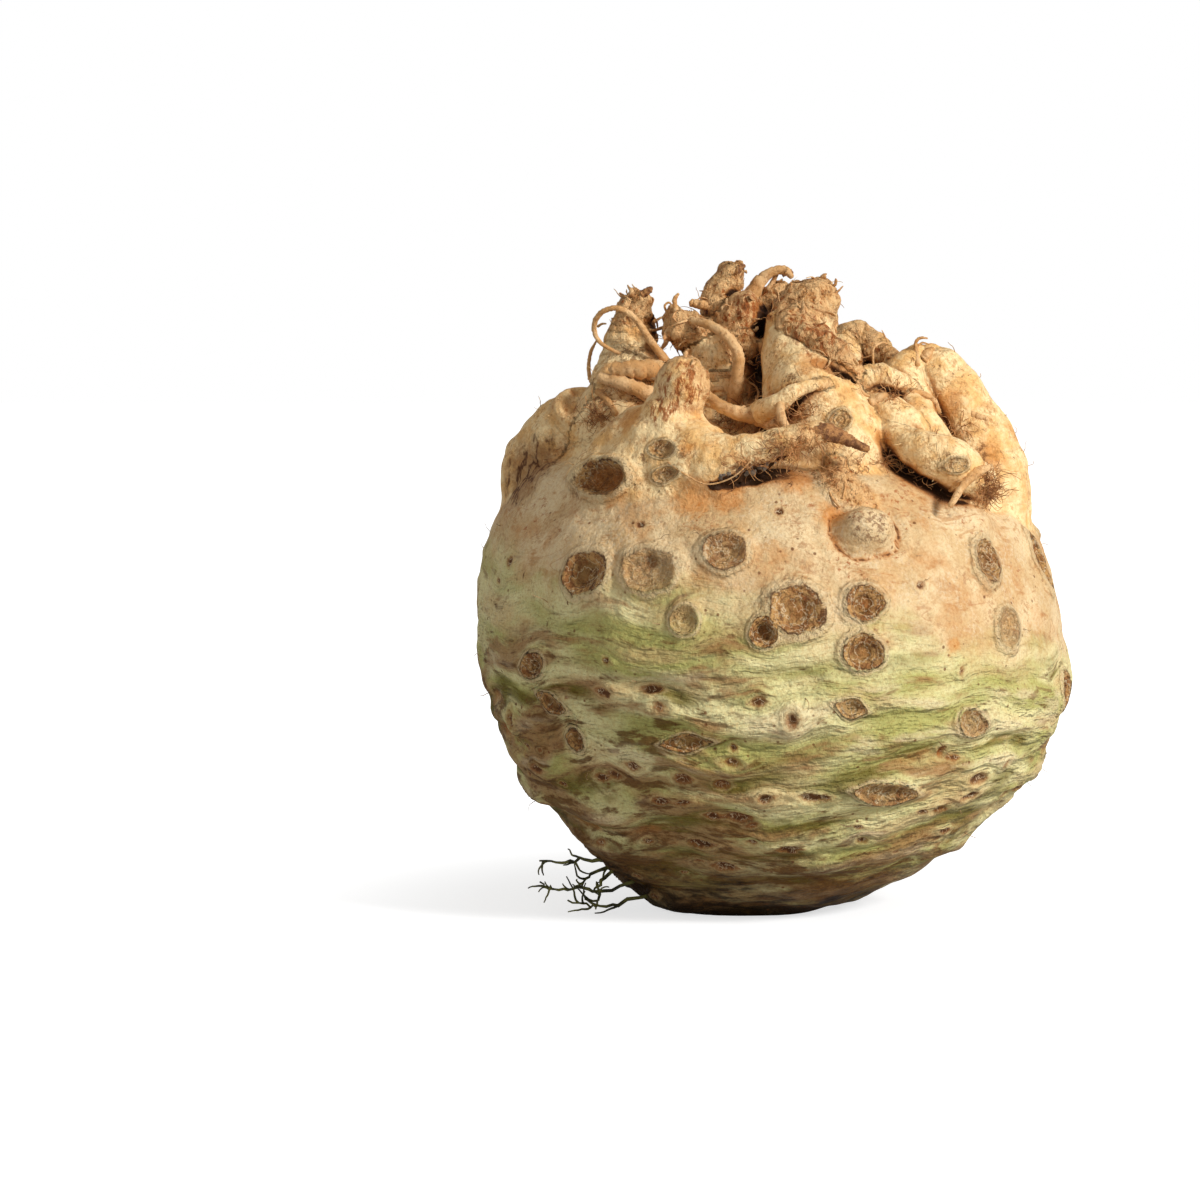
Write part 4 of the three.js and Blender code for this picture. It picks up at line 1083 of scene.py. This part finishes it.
def skin_material(bulb, crown):
    """The whole root's skin, coloured by the values that its points carry and by noise."""
    s = Shader("celeriac_skin")
    leg, fold, scar, tone, mark, bark, hollow, flow, ring, ringed = map(s.attribute, SKIN_VALUES)
    x, y, height = s.parts(s.place)
    level = s.math("MULTIPLY_ADD", x, 0.18, s.wobble(height, 34.0, 22))
    flowing = s.flow_place(flow, 3.6)
    across, deep = (s.math("MULTIPLY", value, 0.12) for value in (x, y))
    ring_place = s.joined(s.wobble(ring, 1.6, 3, 51), across, deep)
    rough = s.noise(2.0, 4.0, 0.72, stretch=(1, 1, 1.6), offset=60)
    wrinkles = s.noise(1.0, 3.0, 0.6, place=ring_place, offset=53)
    scar_place = s.wobble(s.wobble(scar, 0.4, 4.5, 70), 0.16, 1.4, 71)
    mark_place = s.wobble(s.wobble(mark, 0.9, 3.0, 82), 0.5, 1.0, 83)

    lower = lower_skin(s, flowing, fold, s.math("MULTIPLY_ADD", x, 0.24, level))
    # Darker brown towards the bottom, reaching a little higher on the left, and near black at the base
    base = s.math("MULTIPLY_ADD", s.noise(2.2, 4.0, 0.65, place=flowing, offset=33), 44.0, height)
    base = s.math("MULTIPLY_ADD", x, 0.1, base)
    specks = s.product(s.step(s.dots(2.8), 0.16, 0.09), s.patches(8, 0.46, 0.56, 0.8, detail=2.0, offset=40))
    stained, blotched, rusted, cracked = (
        s.spots(on_skin(bulb, crown, spots)) for spots in (ORANGE_STAINS, BLOTCHES, RUSTED, CRACKED))
    flecks = s.patches(1.3, 0.46, 0.57, detail=4.0, rough=0.75, offset=46)
    streaks = s.noise(1.3, 4.0, 0.7, stretch=(1, 1, 2.6), offset=47)
    splits = s.lines(3.4, 0.06, stretch=(1, 1, 2.5), offset=34)
    colour = s.over(
        s.mix(s.step(level, 76, 60), upper_skin(s, flowing), lower),
        (s.step(base, 42, 30, 0.7), LOW_BROWN),
        (s.step(base, 31, 22, 0.85), BLACK_BROWN),
        (specks, SPECK),
        (s.step(leg, 0.15, 0.85), leg_skin(s, bark, wrinkles, ringed, rough)),
        (s.product(stained, 0.6), ORANGE),
        (s.product(blotched, flecks, 0.75), SPECK),
        (s.product(rusted, s.step(streaks, 0.46, 0.56), 0.85), RUST),
        (s.product(rusted, s.step(streaks, 0.58, 0.66), 0.85), SPECK),
        (s.product(cracked, 0.8), ROSE_BROWN),
        (s.product(cracked, splits, 0.95), BARK_DARK),
    )
    colour = smudged(s, colour, mark_place)
    # Painted shade: orange brown, then dark brown, then near black where crevices, knob creases and the
    # carved hollows close in
    colour = s.over(
        scarred(s, colour, scar_place, s.step(tone, 0.2, 0.9)),
        (s.step(s.wobble(hollow, 0.4, 2.5), 0.24, 0.64, 0.8), CREVICE_SHADE),
        (s.step(s.wobble(hollow, 0.3, 1.6), 0.58, 0.8, 0.92), BARK_DARK),
        (s.step(hollow, 0.78, 0.9, 0.75), BLACK_BROWN),
    )
    mottle = s.patches(0.7, 0.6, 0.34, 0.35, detail=4.0, rough=0.75, offset=90)
    colour = s.mix(mottle, colour, PEACH, "MULTIPLY")
    s.surface.inputs["Specular IOR Level"].default_value = 0.2

    ripples = s.math("SINE", s.math("MULTIPLY", scar_place, 15.0))
    core = s.math("MULTIPLY_ADD", ripples, 0.16, s.noise(1.1, 3.0, 0.75))
    normal = s.bump([
        (s.noise(0.8, 3.0, 0.72), 0.34, 0.9),
        (s.noise(2.4, 3.0, 0.58), 0.8, 0.8),
        (s.product(s.noise(3.0, place=flowing, offset=18), s.step(level, 86, 46)), 4.2, 0.9),
        (s.product(wrinkles, leg, ringed), 1.4, 0.9),
        (s.product(rough, s.math("MAXIMUM", bark, s.product(leg, 0.14))), 2.4, 0.9),
        (s.product(s.step(scar_place, 1.5, 1.0), core), 1.5, 0.9),
    ])
    return s.finished(colour, s.math("ADD", s.patches(4, 0.2, 0.8, 0.25, offset=80), 0.55), normal)


def fibre_material(name, light, dark, size=3.0, relief=0.15):
    s = Shader(name)
    colour = s.mix(s.patches(size, 0.4, 0.6, detail=5.0, rough=0.65), dark, light)
    roughness = s.math("MULTIPLY_ADD", s.noise(1.5), 0.3, 0.55)
    return s.finished(colour, roughness, s.bump([(s.noise(0.9, 4.0, 0.7), relief, 1.0)]))


def root_material():
    """The thin side roots: pale tan with brown rough patches and fine wrinkles."""
    s = Shader("side_root")
    colour = s.over(
        s.mix(s.patches(5, 0.38, 0.6, detail=4.0, rough=0.65), BARK_PALE, LEG_TAN),
        (s.patches(1.3, 0.52, 0.64, 0.8, detail=5.0, rough=0.72, offset=5), BARK_BROWN),
        (s.patches(0.9, 0.6, 0.7, 0.7, detail=4.0, rough=0.7, offset=8), SPECK),
    )
    roughness = s.math("MULTIPLY_ADD", s.noise(1.5), 0.3, 0.5)
    return s.finished(colour, roughness, s.bump([(s.noise(0.8, 5.0, 0.7), 0.5, 0.9)]))


class Strands:
    """Many thin closed rods in one mesh."""

    def __init__(self):
        self.points, self.faces = [], []

    def add(self, route, radii, sides=4, draw=None, rough=0.0, flat=1.0):
        """A rod through these points, flattened by a share, that closes to a tip at both ends."""
        route, radii = np.asarray(route, float), np.asarray(radii, float)
        heading = np.gradient(route, axis=0)
        heading /= np.maximum(np.linalg.norm(heading, axis=1), 1e-9)[:, None]
        side = np.cross(heading[0], [0.31, 0.52, 0.79])
        start = len(self.points)
        self.points.append(route[0] - 0.5 * radii[0] * heading[0])
        for place, forward, radius in zip(route, heading, radii):
            side = side - forward * (side @ forward)
            side = side / max(np.linalg.norm(side), 1e-9)
            other = np.cross(forward, side)
            swell = 1 + rough * draw.normal() if rough else 1.0
            for k in range(sides):
                turn = 2 * math.pi * k / sides
                out = radius * swell * (1 + 0.7 * rough * draw.normal() if rough else 1.0)
                self.points.append(place + out * (math.cos(turn) * side + flat * math.sin(turn) * other))
        self.points.append(route[-1] + 0.5 * radii[-1] * heading[-1])
        last = len(self.points) - 1
        rings = len(route)
        for k in range(sides):
            n = (k + 1) % sides
            self.faces.append([start, start + 1 + n, start + 1 + k])
            end = start + 1 + (rings - 1) * sides
            self.faces.append([end + k, end + n, last])
            for ring in range(rings - 1):
                here = start + 1 + ring * sides
                self.faces.append([here + k, here + n, here + sides + n, here + sides + k])

    def build(self, name, material):
        low, high = (np.array(corner) / MM for corner in cad_box)
        points = np.clip(np.array(self.points), low + EDGE_GAP, high - EDGE_GAP)
        piece = add_mesh(name, points, self.faces)
        piece.data.materials.append(material)


def wander(draw, start, heading, length, steps, curl):
    """A hair's wavering route from a start in a heading."""
    route = [np.array(start, float)]
    heading = heading / np.linalg.norm(heading)
    turn = draw.normal(size=3)
    for i in range(steps):
        turn = 0.7 * turn + 0.6 * draw.normal(size=3)
        heading = heading + curl * turn / steps * 3
        heading = heading / np.linalg.norm(heading)
        route.append(route[-1] + heading * length / steps)
    return route


def seen_place(whole, x, z, lift, depth=None):
    """The surface's point that the photograph shows x across and z up, in millimetres on the plane
    through the root's middle, moved out by a lift. Off the root it keeps the depth given."""
    eye = np.array([0, 0, AIM_HEIGHT]) + VIEW_DISTANCE * VIEW_BACK
    aim = np.array([x, 0, AIM_HEIGHT]) + (z - AIM_HEIGHT) * VIEW_UP
    sight = (aim - eye) / np.linalg.norm(aim - eye)
    steps = aim + sight * np.arange(-75, 75, 0.4)[:, None]
    hits = np.flatnonzero(whole.at(steps) < 0)
    if len(hits):
        return steps[hits[0]] - lift * sight, steps[hits[0]][1]
    depth = 0.0 if depth is None else depth
    return aim + sight * (depth - aim[1]) / sight[1], depth


def seen_route(whole, rows):
    """A route through rows of x, z, lift and radius as seen, from its first place on the root, which
    follows the surface behind it without a leap."""
    route, depth = [], None
    for x, z, lift, radius in rows:
        place, found = seen_place(whole, x, z, lift, depth)
        if depth is not None:
            reach = 1.0 + 1.2 * math.hypot(x - last[0], z - last[1])
            near = min(max(found, depth - reach), depth + reach)
            place[1] += near - found
            found = near
        depth, last = found, (x, z)
        route.append((*place, radius))
    return route


def add_side_roots(whole):
    """The thin roots among the legs, with knobbly sides."""
    draw = np.random.default_rng(SEED + 4)
    strands = Strands()
    routes = [LEGS[name] for name in THIN_ROOTS] + [seen_route(whole, rows) for rows in FINE_ROOTS]
    for route in routes:
        curve = smooth_route(route, FINE_STEPS)
        wave = 0.04 * curve[:, 3:] * draw.normal(size=(len(curve), 3))
        strands.add(curve[:, :3] + wave, 0.8 * curve[:, 3], 10, draw, 0.045)
    strands.build("side_roots", root_material())
    torn = Strands()
    for route in [BRANCH_TIP] + [seen_route(whole, rows) for rows in BARK_ROOTS]:
        curve = smooth_route(route, FINE_STEPS)
        torn.add(curve[:, :3], curve[:, 3], 9, draw, 0.06)
    torn.build("bark_roots", fibre_material("bark_root", BARK_BROWN, SPECK, 1.8, 0.7))


def vertex_values(piece, *names):
    """A mesh's points in millimetres and its attributes of these names."""
    count = len(piece.data.vertices)
    points = np.empty(count * 3)
    piece.data.vertices.foreach_get("co", points)
    found = [points.reshape(-1, 3) / MM]
    for name in names:
        values = np.empty(count)
        piece.data.attributes[name].data.foreach_get("value", values)
        found.append(values)
    return found


# Single hairs: number, ranges of length and width in millimetres, curl, seed, light and dark colour
HAIRS = {
    "crevice_fibres": (1100, (1.8, 6), (0.07, 0.13), 2.0, 1, srgb(208, 152, 94), srgb(140, 90, 50)),
    "leg_hairs": (420, (1.2, 4), (0.07, 0.14), 1.2, 2, srgb(226, 188, 130), srgb(150, 104, 60)),
    "bulb_threads": (110, (1.5, 5), (0.07, 0.12), 0.8, 3, srgb(196, 158, 110), srgb(110, 72, 40)),
}


def add_hairs(name, part, whole, rooted):
    """Single hairs rooted all over the part's chosen points."""
    number, lengths, widths, curl, seed, light, dark = HAIRS[name]
    draw = np.random.default_rng(SEED + seed)
    points = vertex_values(part)[0]
    normals = whole.slope(points)
    strands = Strands()
    for index in draw.choice(np.flatnonzero(rooted), number):
        slant = normals[index] + 0.8 * draw.normal(size=3)
        length, width = draw.uniform(*lengths), draw.uniform(*widths)
        route = wander(draw, points[index] - 0.3 * normals[index], slant, length, 7, curl)
        strands.add(route, width * np.linspace(1, 0.45, 8))
    strands.build(name, fibre_material(name, light, dark))


def add_hair_mats(whole):
    """Dense mats of curly brown hair in the places where the photograph shows them."""
    draw = np.random.default_rng(SEED + 5)
    strands = Strands()
    for x, z, half_width, half_height, number in HAIR_MATS:
        depth = seen_place(whole, x, z, 0)[1]
        for i in range(number):
            across, up = np.clip(0.5 * draw.normal(size=2), -1.2, 1.2)
            place, found = seen_place(whole, x + half_width * across, z + half_height * up, -0.2, depth)
            if abs(found - depth) > 9:
                continue
            outward = whole.slope(place[None])[0]
            slant = 0.7 * outward + draw.normal(size=3)
            route = wander(draw, place, slant, draw.uniform(2.2, 6.5), 8, 2.0)
            strands.add(route, draw.uniform(0.07, 0.13) * np.linspace(1, 0.6, 9), 3)
    strands.build("hair_mats", fibre_material("mat_hair", srgb(212, 154, 94), srgb(142, 90, 46)))


def add_fibres(bulb_part, bulb_whole, crown_part, crown_whole):
    """Brown hair in the crevices, pale hairs on the legs and thin threads on the bulb."""
    points, hollow, leg = vertex_values(crown_part, "hollow", "leg")
    add_hairs("crevice_fibres", crown_part, crown_whole, (hollow > 0.34) & (points[:, 2] < 132))
    add_hairs("leg_hairs", crown_part, crown_whole, (leg > 0.5) & (points[:, 2] > 95))
    points, leg = vertex_values(bulb_part, "leg")
    add_hairs("bulb_threads", bulb_part, bulb_whole, (leg < 0.3) & (points[:, 2] > 14))


def add_flakes(part, whole):
    """Curled scraps of bark on the torn and trimmed tips."""
    draw = np.random.default_rng(SEED + 8)
    points, bark = vertex_values(part, "bark")
    normals = whole.slope(points)
    strands = Strands()
    for index in draw.choice(np.flatnonzero((bark > 0.62) & (points[:, 2] > 106)), FLAKES):
        slant = draw.normal(size=3)
        slant += (0.25 - slant @ normals[index]) * normals[index]
        route = wander(draw, points[index] - 0.2 * normals[index], slant, draw.uniform(1.6, 4.2), 5, 0.9)
        radii = draw.uniform(0.35, 0.8) * FLAKE_WIDTHS
        strands.add(route, radii, 5, draw, rough=0.12, flat=0.25)
    strands.build("bark_flakes", fibre_material("bark_flake", BARK_PALE, BARK_BROWN, 1.4, 0.5))


GREEN_ROOTLETS = [
    [(-32, -12, 11), (-41, -13, 11.6), (-46, -12, 10.8), (-51, -11, 11)],
    [(-27, -13, 8), (-36.5, -17, 5), (-42, -18, 6), (-47.5, -18, 5.4), (-50.5, -17, 7)],
    [(-31, -12, 11), (-37, -16, 7.2), (-37.6, -18, 4), (-38, -19, 1.4)],
    [(-31, -10, 12), (-39.5, -15, 8.4), (-42, -17, 5.8)],
    [(-21, -11, 6), (-33.5, -17, 2.2), (-39.5, -18, 2), (-44, -17, 3)],
]


def add_rootlets():
    """The tuft of branching green rootlets low on the left."""
    draw = np.random.default_rng(SEED + 6)
    strands = Strands()
    for route in GREEN_ROOTLETS:
        curve = smooth_route([(*place, 1.0) for place in route])[:, :3]
        curve = curve + 0.22 * draw.normal(size=curve.shape)
        strands.add(curve, np.linspace(0.5, 0.2, len(curve)), 6, draw, 0.08)
        for i in range(5):
            at = draw.integers(len(curve) // 3, len(curve) - 1)
            slant = curve[at] - curve[at - 1] + 0.8 * draw.normal(size=3) + np.array([-0.6, -0.2, 0.0])
            twig = wander(draw, curve[at], slant, draw.uniform(2.5, 7), 7, 1.0)
            twig = [np.array([p[0], p[1], max(p[2], 0.5)]) for p in twig]
            strands.add(twig, np.linspace(0.3, 0.14, 8), 5)
    material = fibre_material("green_rootlet", srgb(118, 116, 56), srgb(52, 52, 22), 3.0)
    strands.build("green_rootlets", material)


def add_soil(whole):
    """Grey crumbs of soil in the hollow under the front branch."""
    draw = np.random.default_rng(SEED + 7)
    points, faces = [], []
    for i in range(CRUMBS):
        across = draw.uniform(-12, 0)
        place = seen_place(whole, across, 98.9 + 0.24 * across + draw.uniform(-1.6, 0.2), -0.2)[0]
        size = draw.uniform(0.3, 0.75)
        made = bmesh.new()
        bmesh.ops.create_icosphere(made, subdivisions=2, radius=1.0)
        start = len(points)
        for vert in made.verts:
            points.append(place + size * (1 + 0.16 * draw.normal()) * np.array(vert.co))
        for face in made.faces:
            faces.append([start + vert.index for vert in face.verts])
        made.free()
    soil = add_mesh("soil_crumbs", np.array(points), faces)
    soil.data.materials.append(fibre_material("soil", srgb(136, 120, 102), srgb(84, 70, 56), 1.5))


def floor_material():
    """Pale paint near the root, where its shadow falls, that looks white further off."""
    s = Shader("floor_paint")
    x, y, z = s.parts(s.place)
    away = s.math("SQRT", s.math("ADD", s.product(x, x), s.product(y, y)))
    plain = {"Base Color": (0.55, 0.55, 0.55, 1), "Roughness": 0.9, "Emission Color": (1, 1, 1, 1)}
    for name, value in plain.items():
        s.surface.inputs[name].default_value = value
    seen = s.node("ShaderNodeLightPath", {}, "Is Camera Ray")
    glow = s.math("ADD", s.step(away, 60, 160, 0.32), 0.68)
    s.feed(s.surface.inputs["Emission Strength"], s.math("MULTIPLY", glow, seen))
    return s.material


def add_stage():
    """A plain pale floor, soft light from the upper right, and a white studio round them."""
    mesh = bpy.data.meshes.new("floor")
    mesh.from_pydata([(-9, -9, 0), (9, -9, 0), (9, 9, 0), (-9, 9, 0)], [], [(0, 1, 2, 3)])
    floor = add_object("floor", mesh)
    mesh.materials.append(floor_material())

    scene = bpy.context.scene
    scene.world = bpy.data.worlds.new("studio")
    scene.world.use_nodes = True
    nodes, links = scene.world.node_tree.nodes, scene.world.node_tree.links
    background, backdrop = nodes["Background"], nodes.new("ShaderNodeBackground")
    for light, strength in ((background, STUDIO_LIGHT), (backdrop, 1.0)):
        light.inputs["Color"].default_value = (1, 1, 1, 1)
        light.inputs["Strength"].default_value = strength
    either = nodes.new("ShaderNodeMixShader")
    links.new(nodes.new("ShaderNodeLightPath").outputs["Is Camera Ray"], either.inputs[0])
    links.new(background.outputs[0], either.inputs[1])
    links.new(backdrop.outputs[0], either.inputs[2])
    links.new(either.outputs[0], nodes["World Output"].inputs["Surface"])
    scene.view_settings.view_transform = "Standard"

    for name, place, size, power in LAMPS:
        lamp = bpy.data.lights.new(name, "AREA")
        lamp.size, lamp.energy = size, power
        holder = add_object(name, lamp)
        holder.location = place
        holder.rotation_euler = (LAMP_AIM - Vector(place)).to_track_quat("-Z", "Y").to_euler()


def add_camera():
    lens = bpy.data.cameras.new("camera")
    camera = add_object("camera", lens)
    camera.location = (Vector((0, 0, AIM_HEIGHT)) + Vector(VIEW_BACK) * VIEW_DISTANCE) * MM
    camera.rotation_euler = (math.pi / 2 - VIEW_ELEVATION, 0, 0)
    lens.sensor_width = FILM_WIDTH
    lens.lens = FILM_WIDTH * VIEW_DISTANCE / WIDTH_SEEN
    lens.shift_x = 0.5 - AIM_PIXEL[0] / PICTURE_SIDE
    lens.shift_y = AIM_PIXEL[1] / PICTURE_SIDE - 0.5
    lens.clip_start, lens.clip_end = 0.01, 20
    bpy.context.scene.camera = camera


bulb_part, bulb_whole = make_skin_part("bulb_skin", BULB_GRID, -10.0, SPLIT_HEIGHT + 0.6)
crown_part, crown_whole = make_skin_part("crown_skin", CROWN_GRID, SPLIT_HEIGHT - 0.4, 200.0)
whole_skin = skin_material(bulb_whole, crown_whole)
for part in (bulb_part, crown_part):
    part.data.materials.append(whole_skin)
add_side_roots(crown_whole)
add_hair_mats(crown_whole)
add_fibres(bulb_part, bulb_whole, crown_part, crown_whole)
add_flakes(crown_part, crown_whole)
add_rootlets()
add_soil(crown_whole)
add_stage()
add_camera()
